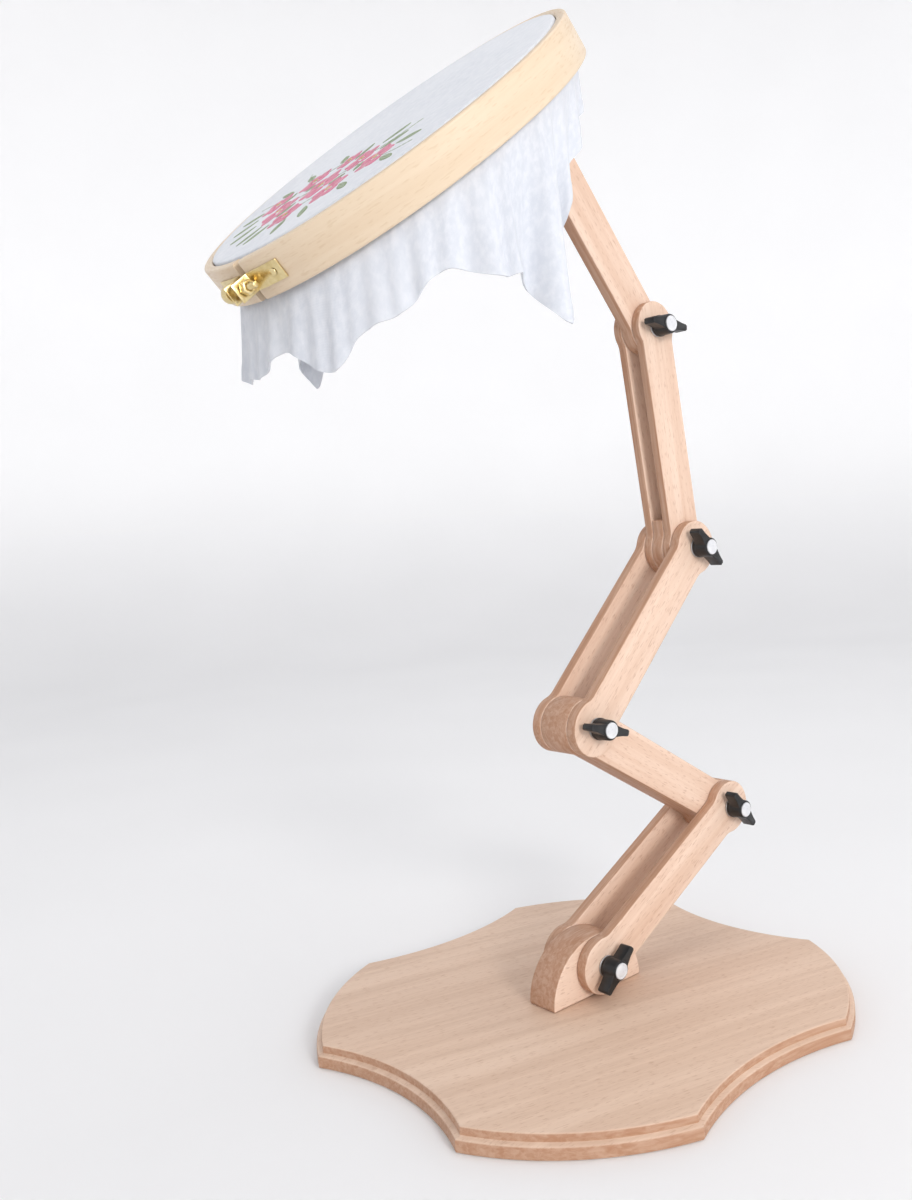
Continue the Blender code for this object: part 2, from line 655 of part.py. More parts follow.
def build_hoop_hardware(hoop, outer_ring):
    """Two brackets riveted to the ring's ends, and the screw and nut that pull them together."""
    axis_y = -OUTER_RING[1] - HOOP_SCREW_OUT
    bore = cylinder(HOOP_SCREW + GAP, -30 * MM, 30 * MM, 12)
    bore = helper("hoop_screw_hole", mesh_from(bore, "hoop_screw_hole"), hoop, (0, axis_y, 0))
    for name, side in (("left", -1), ("right", 1)):
        bracket = build_bracket("hoop_bracket_" + name, hoop, side)
        boolean(bracket, bore)
        angle = math.radians(270 + side * RIVET_ANGLE)
        rivet_at = (OUTER_RING[1] * math.cos(angle), OUTER_RING[1] * math.sin(angle), 0)
        head = GAP + BRACKET_SHEET + GAP
        profile = [
            (-RIVET_DEEP, 0),
            (-RIVET_DEEP, RIVET),
            (head, RIVET),
            (head, RIVET_HEAD),
            (head + 0.7 * MM, 0.75 * RIVET_HEAD),
            (head + 1.0 * MM, 0),
        ]
        rivet = mesh_from(turned(profile, 12), "hoop_rivet")
        add("hoop_rivet_" + name, rivet, "brass", hoop, rivet_at, (0, 0, angle))
        drill = mesh_from(cylinder(RIVET + GAP, -RIVET_DEEP - GAP, 10 * MM, 12), "rivet_hole")
        drill = helper("rivet_hole_" + name, drill, hoop, rivet_at, (0, 0, angle))
        boolean(bracket, drill)
        boolean(outer_ring, drill)

    lug_face = OUTER_RING[1] * math.sin(math.radians(BRACKET_NEAR)) + BRACKET_SHEET + GAP
    head_from = -lug_face - GAP
    profile = [
        (head_from - HOOP_SCREW_HEAD_LONG, 0),
        (head_from - HOOP_SCREW_HEAD_LONG, HOOP_SCREW_HEAD - 0.8 * MM),
        (head_from - HOOP_SCREW_HEAD_LONG + 0.8 * MM, HOOP_SCREW_HEAD),
        (head_from - 3.2 * MM, HOOP_SCREW_HEAD),
        (head_from - 2.6 * MM, 3.0 * MM),
        (head_from, 3.0 * MM),
        (head_from, HOOP_SCREW),
        (HOOP_SCREW_END, HOOP_SCREW),
        (HOOP_SCREW_END, 0),
    ]
    add("hoop_screw", mesh_from(turned(profile, 20), "hoop_screw"), "brass", hoop, (0, axis_y, 0))
    nut_from = lug_face + GAP
    profile = [
        (nut_from, HOOP_SCREW + GAP),
        (nut_from, HOOP_NUT),
        (nut_from + HOOP_NUT_LONG, HOOP_NUT),
        (nut_from + HOOP_NUT_LONG, HOOP_SCREW + GAP),
    ]
    nut = mesh_from(turned(profile, 6), "hoop_nut")
    add("hoop_nut", nut, "brass", hoop, (0, axis_y, 0))


def build_hoop(head):
    """The hoop in its own frame: Z is its axis, +Y is where the clamp holds it and -Y is the split."""
    hoop = bpy.data.objects.new("hoop_centre", None)
    hoop.parent = head
    hoop.location = (0, HOOP_UP, HOOP_OUT)
    hoop.rotation_euler = (math.radians(-90), 0, 0)
    bpy.context.collection.objects.link(hoop)
    inner = swept_ring(ring_section(*INNER_RING), 0, 360, RING_STEPS)
    add("hoop_inner_ring", mesh_from(inner, "hoop_inner_ring", 30.0), "ring_wood", hoop)
    split = swept_ring(ring_section(*OUTER_RING), 270 + RING_GAP_HALF, 630 - RING_GAP_HALF, RING_STEPS - 1)
    outer_ring = add("hoop_outer_ring", mesh_from(split, "hoop_outer_ring", 30.0), "ring_wood", hoop)
    upright = (0, math.radians(-90), 0)
    drum = cylinder(CLOTH_RADIUS + CLOTH_THICK / 2, 0, CLOTH_THICK, RING_STEPS)
    drum = mesh_from(drum, "cloth_drum")
    add("cloth_drum", drum, "cotton", hoop, (0, 0, CLOTH_TOP - CLOTH_THICK), upright)
    skirt = add("cloth_skirt", skirt_mesh(), "cotton", hoop)
    thicken = skirt.modifiers.new("thickness", "SOLIDIFY")
    thicken.thickness = CLOTH_THICK
    thicken.offset = 0.0
    build_hoop_hardware(hoop, outer_ring)


def main():
    clear_scene()
    foot = build_base()
    head, bolt_hole = build_arm(foot)
    build_clamp(head, bolt_hole)
    build_hoop(head)


main()
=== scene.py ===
"""Looks of the embroidery hoop on its stand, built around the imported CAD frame.

Each wooden, metal and plastic piece is modelled again at its CAD size, with rounded edges and its own
material. The cloth is one sheet: cut flat, stretched over the inner ring, and simulated where it hangs.
"""

import math

import bmesh
import bpy
from mathutils import Matrix, Vector

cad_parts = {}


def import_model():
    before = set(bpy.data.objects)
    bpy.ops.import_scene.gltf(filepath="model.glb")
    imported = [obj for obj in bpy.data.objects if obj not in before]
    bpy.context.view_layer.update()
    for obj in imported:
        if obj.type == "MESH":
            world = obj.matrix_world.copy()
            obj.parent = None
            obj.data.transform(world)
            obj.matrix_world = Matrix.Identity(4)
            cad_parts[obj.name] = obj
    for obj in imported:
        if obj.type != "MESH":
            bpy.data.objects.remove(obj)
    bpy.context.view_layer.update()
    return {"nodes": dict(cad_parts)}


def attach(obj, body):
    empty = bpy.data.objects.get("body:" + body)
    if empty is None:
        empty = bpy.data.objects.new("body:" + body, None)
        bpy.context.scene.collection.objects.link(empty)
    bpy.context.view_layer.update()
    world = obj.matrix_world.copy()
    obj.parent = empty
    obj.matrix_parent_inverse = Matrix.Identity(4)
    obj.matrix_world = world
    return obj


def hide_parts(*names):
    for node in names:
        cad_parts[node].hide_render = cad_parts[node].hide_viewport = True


MM = 0.001

# The board.
BASE_RADIUS = 186 * MM
BASE_THICKNESS = 14 * MM
SCOOP_RADIUS = 190 * MM
SCOOP_MIDDLE = 156 * MM
FOOT_RADIUS = 41.7 * MM

# The arm.
BAR_HALF = 13 * MM
LINK = 164 * MM
FOOT_AXIS_Z = 36 * MM
LINK_ANGLES = [29.1, 148.2, 45.8, 97.7, 127.7]  # degrees from +Y towards +Z
BAR_WIDTH_HALF = 15.7 * MM
EYE = 20 * MM
FORK_EYE = 18.5 * MM
NECK = 14 * MM
PLATE = 8.8 * MM
FORK_PLATE = 7.5 * MM
GAP = 0.3 * MM
TOP_BAR_HALF = BAR_HALF - FORK_PLATE - GAP
FORK_FILLER = 24 * MM
WOOD_ROUND = 1.1 * MM  # radius of the sanded edges
BOARD_GRAIN = 16.5  # degrees from the board's +Y towards +X

# Bolts, washers and knobs.
BOLT = 4.0 * MM
BOLT_HEAD = 9.0 * MM
BOLT_HEAD_TALL = 3.8 * MM
WASHER = 7.5 * MM
WASHER_THICK = 1.2 * MM
HUB_BACK = 7.7 * MM
HUB_FRONT = 7.0 * MM
HUB_LONG = 13.2 * MM
WING_REACH = 17.8 * MM
WING_ROOT_HALF = 4.6 * MM
WING_TIP_HALF = 2.3 * MM
WING_BEND = 8.4 * MM
WING_WAIST = 12.5 * MM
WING_FROM = 3.0 * MM
WING_TO = 12.3 * MM
CAP = 5.5 * MM
CAP_SEAT = 11.4 * MM
BOLT_IN_KNOB = 9.6 * MM
KNOB_ANGLES = [45.0, 127.6, 164.2, 131.5, 174.5, 131.5]

# The clamp.
HEAD_ANGLE = 131.0
HEAD_HALF = 15.5 * MM
LUG = 16 * MM
LUG_REAR_ANGLE = 280.0
RABBET_TOP = 21 * MM
SLOT_FLOOR = 26.3 * MM
SLOT_FRONT = 0.6 * MM
SLOT_REAR = -15.8 * MM
PRONG = 7.5 * MM
PRONG_AXIS = 30.3 * MM
SCREW_DISC = 14.5 * MM
FRONT_DISC_THICK = 6.8 * MM
REAR_DISC_THICK = 9.0 * MM
REAR_SCREW_OUT = 1.2 * MM
FRONT_TIP = SLOT_FRONT + 1.4 * MM  # just inside its prong
REAR_TIP = SLOT_REAR + 0.4 * MM  # just out of its prong

# The hoop.
RING_TALL_HALF = 12 * MM
INNER_RING = (115.0 * MM, 121.4 * MM)
OUTER_RING = (122.6 * MM, 129.0 * MM)
RING_GAP_HALF = 1.4  # degrees
HOOP_OUT = 113.9 * MM
HOOP_UP = SLOT_FLOOR + 0.5 * MM + RING_TALL_HALF
BRACKET_SHEET = 1.0 * MM
BRACKET_TALL_HALF = 5.5 * MM
BRACKET_FAR = 14.0  # degrees from the split
BRACKET_NEAR = 1.6  # degrees from the split
BRACKET_LUG = 12.5 * MM
HOOP_SCREW = 2.0 * MM
HOOP_SCREW_OUT = 7.0 * MM
HOOP_SCREW_HEAD = 5.0 * MM
HOOP_SCREW_HEAD_LONG = 9.0 * MM
HOOP_SCREW_END = 17 * MM
HOOP_NUT = 4.2 * MM
HOOP_NUT_LONG = 5.0 * MM
RIVET_ANGLE = 11.0  # degrees from the split
SCREW_PITCH = 0.7 * MM

# The cloth, cut as a square with two opposite corners off, seen on the cutting table.
CLOTH_SQUARE_HALF = 180 * MM
CLOTH_TRIM = 177 * MM
CLOTH_RADIUS = 121.95 * MM
CLOTH_TOP = 12.5 * MM
CLOTH_USED = 147 * MM  # of the cut's radius, taken up by the drum and the collar between the rings
CLAMP_NOTCH = 19.0  # degrees either side of the clamp where the cloth is folded away
CLOTH_FOLDED = 0.6 * MM  # what is left hanging over the clamp
CLOTH_THICK = 0.35 * MM
THREAD = 0.42 * MM  # radius of an embroidery thread
HEM = 9 * MM
HEM_THICK = 1.0 * MM
HEM_ROWS = 3
CLOTH_SIM_FRAMES = 36
CLOTH_STEPS = 176  # points round the sheet
CLOTH_FALLS = 20  # rows from the rings to the cut edge
CLOTH_LOBES = 14  # flutes that the skirt starts from

# The studio and the camera, in metres and degrees.
STAGE_RADIUS = 3.4
STAGE_BEND = 1.2
STAGE_TALL = 4.4
CAMERA_SPOT = (0.55359, -0.49973, 0.34253)
CAMERA_AZIMUTH = 45.58
CAMERA_ELEVATION = 4.486
CAMERA_ROLL = -3.291
CAMERA_LENS = 32.47  # millimetres, on a sensor 36 mm wide
CAMERA_SHIFT = (-0.1262, 0.0058)


# -------------------- materials


class Graph:
    """Short calls for building one material's nodes."""

    def __init__(self, name, roughness=0.5, metallic=0.0):
        self.material = bpy.data.materials.new(name)
        self.material.use_nodes = True
        self.tree = self.material.node_tree
        self.shader = self.tree.nodes["Principled BSDF"]
        self.shader.inputs["Roughness"].default_value = roughness
        self.shader.inputs["Metallic"].default_value = metallic

    def node(self, kind, **values):
        made = self.tree.nodes.new(kind)
        for name, value in values.items():
            setattr(made, name, value)
        return made

    def join(self, source, target):
        self.tree.links.new(source, target)

    def coordinates(self, scale=(1, 1, 1), rotation=(0, 0, 0)):
        """Object coordinates in millimetres, times scale along each axis."""
        place = self.node("ShaderNodeTexCoord").outputs["Object"]
        mapping = self.node("ShaderNodeMapping")
        mapping.inputs["Scale"].default_value = [1000 * s for s in scale]
        mapping.inputs["Rotation"].default_value = rotation
        self.join(place, mapping.inputs["Vector"])
        return mapping.outputs["Vector"]

    def noise(self, place, scale, detail, rough=0.5, distortion=0.0):
        made = self.node("ShaderNodeTexNoise")
        made.inputs["Scale"].default_value = scale
        made.inputs["Detail"].default_value = detail
        made.inputs["Roughness"].default_value = rough
        made.inputs["Distortion"].default_value = distortion
        self.join(place, made.inputs["Vector"])
        return made.outputs["Fac"]

    def ramp(self, value, low, high, to_low=0.0, to_high=1.0):
        made = self.node("ShaderNodeMapRange", interpolation_type="SMOOTHSTEP")
        made.inputs["From Min"].default_value = low
        made.inputs["From Max"].default_value = high
        made.inputs["To Min"].default_value = to_low
        made.inputs["To Max"].default_value = to_high
        self.join(value, made.inputs["Value"])
        return made.outputs["Result"]

    def math(self, operation, a, b=None):
        made = self.node("ShaderNodeMath", operation=operation)
        for socket, value in zip(made.inputs, (a, b)):
            if isinstance(value, (int, float)):
                socket.default_value = value
            elif value is not None:
                self.join(value, socket)
        return made.outputs["Value"]

    def mix(self, share, first, second):
        made = self.node("ShaderNodeMix", data_type="RGBA")
        for name, value in (("Factor", share), ("A", first), ("B", second)):
            socket = made.inputs[name]
            if isinstance(value, (int, float)):
                socket.default_value = value
            elif isinstance(value, tuple):
                socket.default_value = (*value, 1.0)
            else:
                self.join(value, socket)
        return made.outputs["Result"]

    def colour(self, output):
        self.join(output, self.shader.inputs["Base Color"])

    def bump(self, height, strength, distance):
        made = self.node("ShaderNodeBump")
        made.inputs["Strength"].default_value = strength
        made.inputs["Distance"].default_value = distance
        self.join(height, made.inputs["Height"])
        self.join(made.outputs["Normal"], self.shader.inputs["Normal"])


def wood(name, tones, face_axis=None, seed=0.0, roughness=0.55, around=None, turn=0.0, figure=1.0):
    """Wood with its grain along the piece's own Y axis, turned by so many degrees, or round a ring's bend.
    Tones are (pale, dark, flecks, edge). Faces not along face_axis show the darker, browner edge tone: mostly
    painted shade, a little browner wood."""
    pale, dark, flecks, edge = tones
    g = Graph(name, roughness)
    place = g.coordinates(rotation=(0, 0, math.radians(turn)))
    if around:
        place = ring_place(g, around)
    stretch = g.node("ShaderNodeMapping")
    stretch.inputs["Location"].default_value = (seed, seed * 3.1, seed * 1.7)
    stretch.inputs["Scale"].default_value = (1.0, 0.035, 1.0)
    g.join(place, stretch.inputs["Vector"])
    along = stretch.outputs["Vector"]

    broad = g.noise(along, 0.075, 2.0, distortion=0.6)
    bands = g.noise(along, 0.34, 4.0, 0.6, 0.8)
    pores = g.node("ShaderNodeMapping")
    pores.inputs["Scale"].default_value = (1.0, 0.14, 1.0)
    g.join(place, pores.inputs["Vector"])
    dashes = g.noise(pores.outputs["Vector"], 1.15, 1.0, 0.4)

    tone = g.math("ADD", g.math("MULTIPLY", broad, 0.6), g.math("MULTIPLY", bands, 0.4))
    colour = g.mix(g.ramp(tone, 0.5 - 0.16 / figure, 0.5 + 0.16 / figure), dark, pale)
    dash = g.ramp(dashes, 0.60, 0.72, 0.0, 0.5 * figure)
    colour = g.mix(dash, colour, flecks)
    # Painted shade: faces that don't look along face_axis, the sawn sides, are mixed towards the darker,
    # browner edge tone.
    if face_axis is not None:
        facing = g.node("ShaderNodeSeparateXYZ")
        g.join(g.node("ShaderNodeTexCoord").outputs["Normal"], facing.inputs["Vector"])
        side = g.math("ABSOLUTE", facing.outputs[face_axis])
        painted_side_shade = g.mix(g.ramp(bands, 0.3, 0.7, 0.0, 0.3), edge, pale)
        colour = g.mix(g.ramp(side, 0.35, 0.85, 0.85, 0.0), colour, painted_side_shade)
    g.colour(colour)
    rough = g.ramp(dashes, 0.45, 0.75, roughness - 0.06, roughness + 0.16)
    g.join(rough, g.shader.inputs["Roughness"])
    height = g.math("SUBTRACT", g.math("MULTIPLY", bands, 0.5), g.ramp(dashes, 0.58, 0.72))
    g.bump(height, 0.22, 0.12 * MM)
    g.shader.inputs["Specular IOR Level"].default_value = 0.35
    return g.material


def ring_place(g, radius):
    """Coordinates on a bent strip, in millimetres: across the strip, along the bend, and up."""
    split = g.node("ShaderNodeSeparateXYZ")
    g.join(g.coordinates(), split.inputs["Vector"])
    x, y, z = split.outputs
    turn = g.math("ARCTAN2", x, y)
    away = g.math("SQRT", g.math("ADD", g.math("MULTIPLY", x, x), g.math("MULTIPLY", y, y)))
    joined = g.node("ShaderNodeCombineXYZ")
    g.join(away, joined.inputs[0])
    g.join(g.math("MULTIPLY", turn, 1000 * radius), joined.inputs[1])
    g.join(z, joined.inputs[2])
    return joined.outputs["Vector"]


def plastic(name, colour, lighter, roughness, grain):
    """Moulded plastic: a fine spark-eroded texture, with handling shine in patches."""
    g = Graph(name, roughness)
    fine = g.noise(g.coordinates(), 3.2, 2.0, 0.6)
    patches = g.noise(g.coordinates(), 0.16, 2.0)
    g.colour(g.mix(g.ramp(patches, 0.4, 0.7), colour, lighter))
    g.join(g.ramp(patches, 0.35, 0.7, roughness - 0.08, roughness + 0.1), g.shader.inputs["Roughness"])
    g.bump(fine, grain, 0.05 * MM)
    return g.material


def metal(name, colour, darker, roughness, lines):
    """Turned or rolled metal: fine lines round its axis, and slightly dulled patches."""
    g = Graph(name, roughness, 1.0)
    fine = g.noise(g.coordinates(lines), 1.0, 2.0)
    patches = g.noise(g.coordinates(), 0.2, 2.0)
    g.colour(g.mix(g.ramp(patches, 0.35, 0.7), colour, darker))
    g.join(g.ramp(fine, 0.3, 0.7, roughness - 0.06, roughness + 0.10), g.shader.inputs["Roughness"])
    g.bump(fine, 0.08, 0.02 * MM)
    return g.material


def cotton():
    """Plain woven cotton: warp and weft from the sheet's own flat coordinates, with a little slub."""
    g = Graph("cotton_weave", 0.92)
    flat = g.node("ShaderNodeUVMap", uv_map="flat").outputs["UV"]
    threads = []
    for axis in (0, 1):
        wave = g.node("ShaderNodeTexWave", wave_type="BANDS", wave_profile="SIN")
        wave.bands_direction = "XY"[axis]
        wave.inputs["Scale"].default_value = 520.0
        wave.inputs["Distortion"].default_value = 0.25
        g.join(flat, wave.inputs["Vector"])
        threads.append(wave.outputs["Fac"])
    weave = g.math("MULTIPLY", threads[0], threads[1])
    slub = g.noise(flat, 190.0, 3.0, 0.6)
    cloud = g.noise(flat, 14.0, 3.0, 0.55)
    # Painted shade: the white cotton is coloured a cool bluish grey instead of white, with lighter clouds and
    # slub.
    white = g.mix(g.ramp(slub, 0.35, 0.7), (0.60, 0.63, 0.69), (0.69, 0.71, 0.76))
    white = g.mix(g.ramp(cloud, 0.35, 0.7, 0.0, 0.45), white, (0.74, 0.76, 0.80))
    # Painted shade between the threads: where warp and weft leave gaps, the colour is mixed towards a darker
    # blue grey.
    g.colour(g.mix(g.ramp(weave, 0.0, 0.25, 0.16, 0.0), white, (0.50, 0.53, 0.60)))
    g.bump(g.math("ADD", weave, g.math("MULTIPLY", slub, 0.6)), 0.30, 0.10 * MM)
    g.shader.inputs["Sheen Weight"].default_value = 0.25
    g.shader.inputs["Sheen Roughness"].default_value = 0.6
    return g.material


def thread(name, colour, shade):
    """Stranded cotton: fine twist across the stitches."""
    g = Graph(name, 0.55)
    twist = g.noise(g.coordinates(), 2.6, 2.0)
    g.colour(g.mix(g.ramp(twist, 0.35, 0.65), colour, shade))
    g.bump(twist, 0.4, 0.08 * MM)
    g.shader.inputs["Sheen Weight"].default_value = 0.4
    return g.material


def backdrop():
    """A matt pale floor, whose wall glows a little so that it stays pale away from the lights."""
    g = Graph("pale_floor", 0.85)
    soft = g.noise(g.coordinates(), 0.004, 0.0)
    g.colour(g.mix(soft, (0.86, 0.86, 0.87), (0.89, 0.89, 0.90)))
    height = g.node("ShaderNodeSeparateXYZ")
    g.join(g.coordinates(), height.inputs["Vector"])
    g.join(g.ramp(height.outputs[2], 0.0, 700.0, 0.0, 0.20), g.shader.inputs["Emission Strength"])
    g.shader.inputs["Emission Color"].default_value = (1.0, 1.0, 1.0, 1.0)
    return g.material


# -------------------- geometry


def arc(centre, radius, start, end, steps):
    """Points along a circle, from one angle in degrees to another."""
    points = []
    for i in range(steps + 1):
        angle = math.radians(start + (end - start) * i / steps)
        points.append((centre[0] + radius * math.cos(angle), centre[1] + radius * math.sin(angle)))
    return points


def prism(outline, low, high, along="X"):
    """An outline of (y, z) pushed out along X, or of (x, y) along Z."""
    bm = bmesh.new()
    if along == "X":
        start = [bm.verts.new((low, a, b)) for a, b in outline]
        step = (high - low, 0, 0)
    else:
        start = [bm.verts.new((a, b, low)) for a, b in outline]
        step = (0, 0, high - low)
    face = bm.faces.new(start)
    made = bmesh.ops.extrude_face_region(bm, geom=[face])
    moved = [v for v in made["geom"] if isinstance(v, bmesh.types.BMVert)]
    bmesh.ops.translate(bm, verts=moved, vec=step)
    return bm


def block(low, high):
    """A box between two corners."""
    outline = [(low[1], low[2]), (high[1], low[2]), (high[1], high[2]), (low[1], high[2])]
    return prism(outline, low[0], high[0])


def lofted(rings, whole=False):
    """A solid through rings of equal count: closed by flat ends, or joined end to end where whole."""
    bm = bmesh.new()
    loops = [[bm.verts.new(p) for p in ring] for ring in rings]
    pairs = list(zip(loops, loops[1:]))
    if whole:
        pairs.append((loops[-1], loops[0]))
    for lower, upper in pairs:
        for i in range(len(lower)):
            j = (i + 1) % len(lower)
            bm.faces.new((lower[i], lower[j], upper[j], upper[i]))
    if not whole:
        bm.faces.new(reversed(loops[0]))
        bm.faces.new(loops[-1])
    return bm


def turned(profile, steps=48):
    """A solid of revolution about X. A profile's (x, radius) points start and end on the axis,
    or go round a closed section that stays off it."""
    bm = bmesh.new()
    verts = [bm.verts.new((x, r, 0)) for x, r in profile]
    edges = [bm.edges.new(pair) for pair in zip(verts, verts[1:])]
    if min(r for _, r in profile) > 0:
        edges.append(bm.edges.new((verts[-1], verts[0])))
    bmesh.ops.spin(
        bm, geom=verts + edges, cent=(0, 0, 0), axis=(1, 0, 0), angle=math.tau, steps=steps, use_merge=True
    )
    bmesh.ops.remove_doubles(bm, verts=bm.verts, dist=1e-7)
    return bm


def drill(radius, low, high, steps=28):
    """A plain rod along X, to cut holes with."""
    return turned([(low, 0), (low, radius), (high, radius), (high, 0)], steps)


def mesh_from(bm, name, smooth_angle=30.0):
    """A mesh with its normals outwards, smooth but for edges sharper than so many degrees."""
    bmesh.ops.recalc_face_normals(bm, faces=bm.faces)
    mesh = bpy.data.meshes.new(name)
    bm.to_mesh(mesh)
    bm.free()
    mesh.shade_smooth()
    mesh.set_sharp_from_angle(angle=math.radians(smooth_angle))
    return mesh


def add(name, mesh, look, place=Matrix.Identity(4)):
    obj = bpy.data.objects.new(name, mesh)
    if look is not None:
        obj.data.materials.append(look)
    obj.matrix_world = place
    bpy.context.scene.collection.objects.link(obj)
    return obj


def rounded(obj, width=WOOD_ROUND, segments=3, angle=35.0):
    """A sanded or moulded edge, wherever two faces meet at more than so many degrees."""
    modifier = obj.modifiers.new("rounded", "BEVEL")
    modifier.width = width
    modifier.segments = segments
    modifier.limit_method = "ANGLE"
    modifier.angle_limit = math.radians(angle)
    modifier.use_clamp_overlap = True


def boolean(obj, cutter_bm, place, operation="DIFFERENCE"):
    """Cuts or joins at once, so that what comes after works on a plain mesh."""
    cutter = add("cutter", mesh_from(cutter_bm, "cutter"), None, place)
    modifier = obj.modifiers.new("boolean", "BOOLEAN")
    modifier.operation = operation
    modifier.solver = "EXACT"
    modifier.object = cutter
    apply_modifiers(obj)
    bpy.data.objects.remove(cutter, do_unlink=True)


def apply_modifiers(obj):
    bpy.context.view_layer.update()
    graph = bpy.context.evaluated_depsgraph_get()
    mesh = bpy.data.meshes.new_from_object(obj.evaluated_get(graph))
    obj.modifiers.clear()
    obj.data = mesh


def finish_piece(obj, body, *nodes, slot=None, smooth_angle=30.0):
    """Puts a piece on its body, in place of its CAD nodes."""
    apply_modifiers(obj)
    obj.data.shade_smooth()
    obj.data.set_sharp_from_angle(angle=math.radians(smooth_angle))
    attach(obj, body)
    if nodes:
        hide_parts(*nodes)


# -------------------- places


def along_arm(number):
    """Matrix of a joint: X is the hinge axis, Y runs along the link that starts there."""
    spot = Vector((0, 0, FOOT_AXIS_Z))
    for angle in LINK_ANGLES[:number]:
        turn = math.radians(angle)
        spot += Vector((0, LINK * math.cos(turn), LINK * math.sin(turn)))
    angle = (LINK_ANGLES + [HEAD_ANGLE])[number]
    return Matrix.Translation(spot) @ Matrix.Rotation(math.radians(angle), 4, "X")


def hoop_place():
    """Matrix of the hoop: Z is its own axis, and -Y points at the split in the outer ring."""
    inside = Matrix.Translation((0, HOOP_UP, HOOP_OUT)) @ Matrix.Rotation(math.radians(-90), 4, "X")
    return along_arm(5) @ inside


def moved(place, x=0.0, y=0.0, z=0.0):
    """The same place, shifted along its own axes."""
    return place @ Matrix.Translation((x, y, z))


# -------------------- the board and the foot


def base_outline(inset):
    """The board from above, drawn in by inset: four round sides between four scoops."""
    radius = BASE_RADIUS - inset
    scoop = SCOOP_RADIUS + inset
    away = SCOOP_MIDDLE + SCOOP_RADIUS
    half = math.degrees(math.acos((away**2 + scoop**2 - radius**2) / (2 * away * scoop)))
    corner = math.degrees(math.acos((away**2 + radius**2 - scoop**2) / (2 * away * radius)))
    points = []
    for side in range(4):
        turn = 90.0 * side
        centre = (away * math.cos(math.radians(turn)), away * math.sin(math.radians(turn)))
        points += arc(centre, scoop, turn + 180 + half, turn + 180 - half, 24)
        points += arc((0, 0), radius, turn + corner, turn + 90 - corner, 26)[1:-1]
    return points


def base_edge():
    """(inset, height) up the moulded edge: a rounded lip, a narrow ledge, and a step with a rounded top."""
    lip = [(1.2 * MM - x, 1.2 * MM - z) for x, z in arc((0, 0), 1.2 * MM, 90, 0, 4)]
    nose = [(1.6 * MM - x, 6.6 * MM + z) for x, z in arc((0, 0), 1.6 * MM, 0, 80, 5)]
    ledge = [(3.0 * MM, 8.7 * MM), (3.4 * MM, 9.1 * MM)]
    top = [(4.7 * MM - x, 12.7 * MM + z) for x, z in arc((0, 0), 1.3 * MM, 0, 90, 5)]
    return lip + nose + ledge + top


def build_base(looks):
    rings = [[(x, y, z) for x, y in base_outline(inset)] for inset, z in base_edge()]
    board = add("board", mesh_from(lofted(rings), "board", 25.0), looks["board"])
    finish_piece(board, "base", "base_board", slot="beech", smooth_angle=25.0)

    outline = arc((0, BASE_THICKNESS + GAP), FOOT_RADIUS, 0, 180, 64)
    foot = add("foot", mesh_from(prism(outline, -BAR_HALF, BAR_HALF), "foot"), looks["foot"])
    rounded(foot)
    finish_piece(foot, "base", "foot_block", slot="beech")


# -------------------- the arm


def end_arc(at, radius, direction):
    """A link's round end and the necks that run from it into the straight sides."""
    out = math.sqrt((radius + NECK) ** 2 - (BAR_WIDTH_HALF + NECK) ** 2)
    touch = math.degrees(math.atan2(BAR_WIDTH_HALF + NECK, -out))
    upper = arc((-out, BAR_WIDTH_HALF + NECK), NECK, touch - 180, -90, 8)
    lower = [(u, -v) for u, v in reversed(upper)]
    points = lower + arc((0, 0), radius, -touch, touch, 56)[1:-1] + upper
    if direction < 0:
        points = [(-u, -v) for u, v in points]
    return [(at + u, v) for u, v in points]


def link_outline(near, far):
    return end_arc(0, near, -1) + end_arc(LINK, far, 1)


def link_piece(name, outline, low, high, number, body, node, look):
    """One plate or bar of a link, drilled for the bolts at the ends that it reaches."""
    piece = add(name, mesh_from(prism(outline, low, high), name), look, along_arm(number))
    for hole in (number, number + 1):
        if hole > number and max(u for u, _ in outline) < LINK:
            continue
        boolean(piece, drill(BOLT + GAP, -60 * MM, 60 * MM), along_arm(hole))
    rounded(piece)
    finish_piece(piece, body, node, slot="beech")


def build_arm(looks):
    pair = link_outline(EYE, EYE)
    inner = BAR_HALF + GAP
    for letter, number in (("a", 0), ("c", 2)):
        for side, sign in (("left", -1), ("right", 1)):
            low, high = sorted((sign * inner, sign * (inner + PLATE)))
            name = f"plate_{letter}_{side}"
            node = f"link_{letter}_plate_{side}"
            link_piece(name, pair, low, high, number, f"link_{letter}", node, looks[name])
    link_piece("bar_b", pair, -BAR_HALF, BAR_HALF, 1, "link_b", "link_b_bar", looks["bar_b"])
    fork = link_outline(EYE, FORK_EYE)
    for side, sign in (("left", -1), ("right", 1)):
        low, high = sorted((sign * (TOP_BAR_HALF + GAP), sign * BAR_HALF))
        name = f"plate_d_{side}"
        link_piece(name, fork, low, high, 3, "link_d", f"link_d_plate_{side}", looks[name])
    filler = end_arc(0, EYE, -1) + [(FORK_FILLER, -BAR_WIDTH_HALF), (FORK_FILLER, BAR_WIDTH_HALF)]
    half = TOP_BAR_HALF
    link_piece("filler_d", filler, -half, half, 3, "link_d", "link_d_filler", looks["filler_d"])
    top = link_outline(FORK_EYE, FORK_EYE)
    link_piece("bar_e", top, -TOP_BAR_HALF, TOP_BAR_HALF, 4, "link_e", "link_e_bar", looks["bar_e"])


# -------------------- bolts, washers and wing knobs


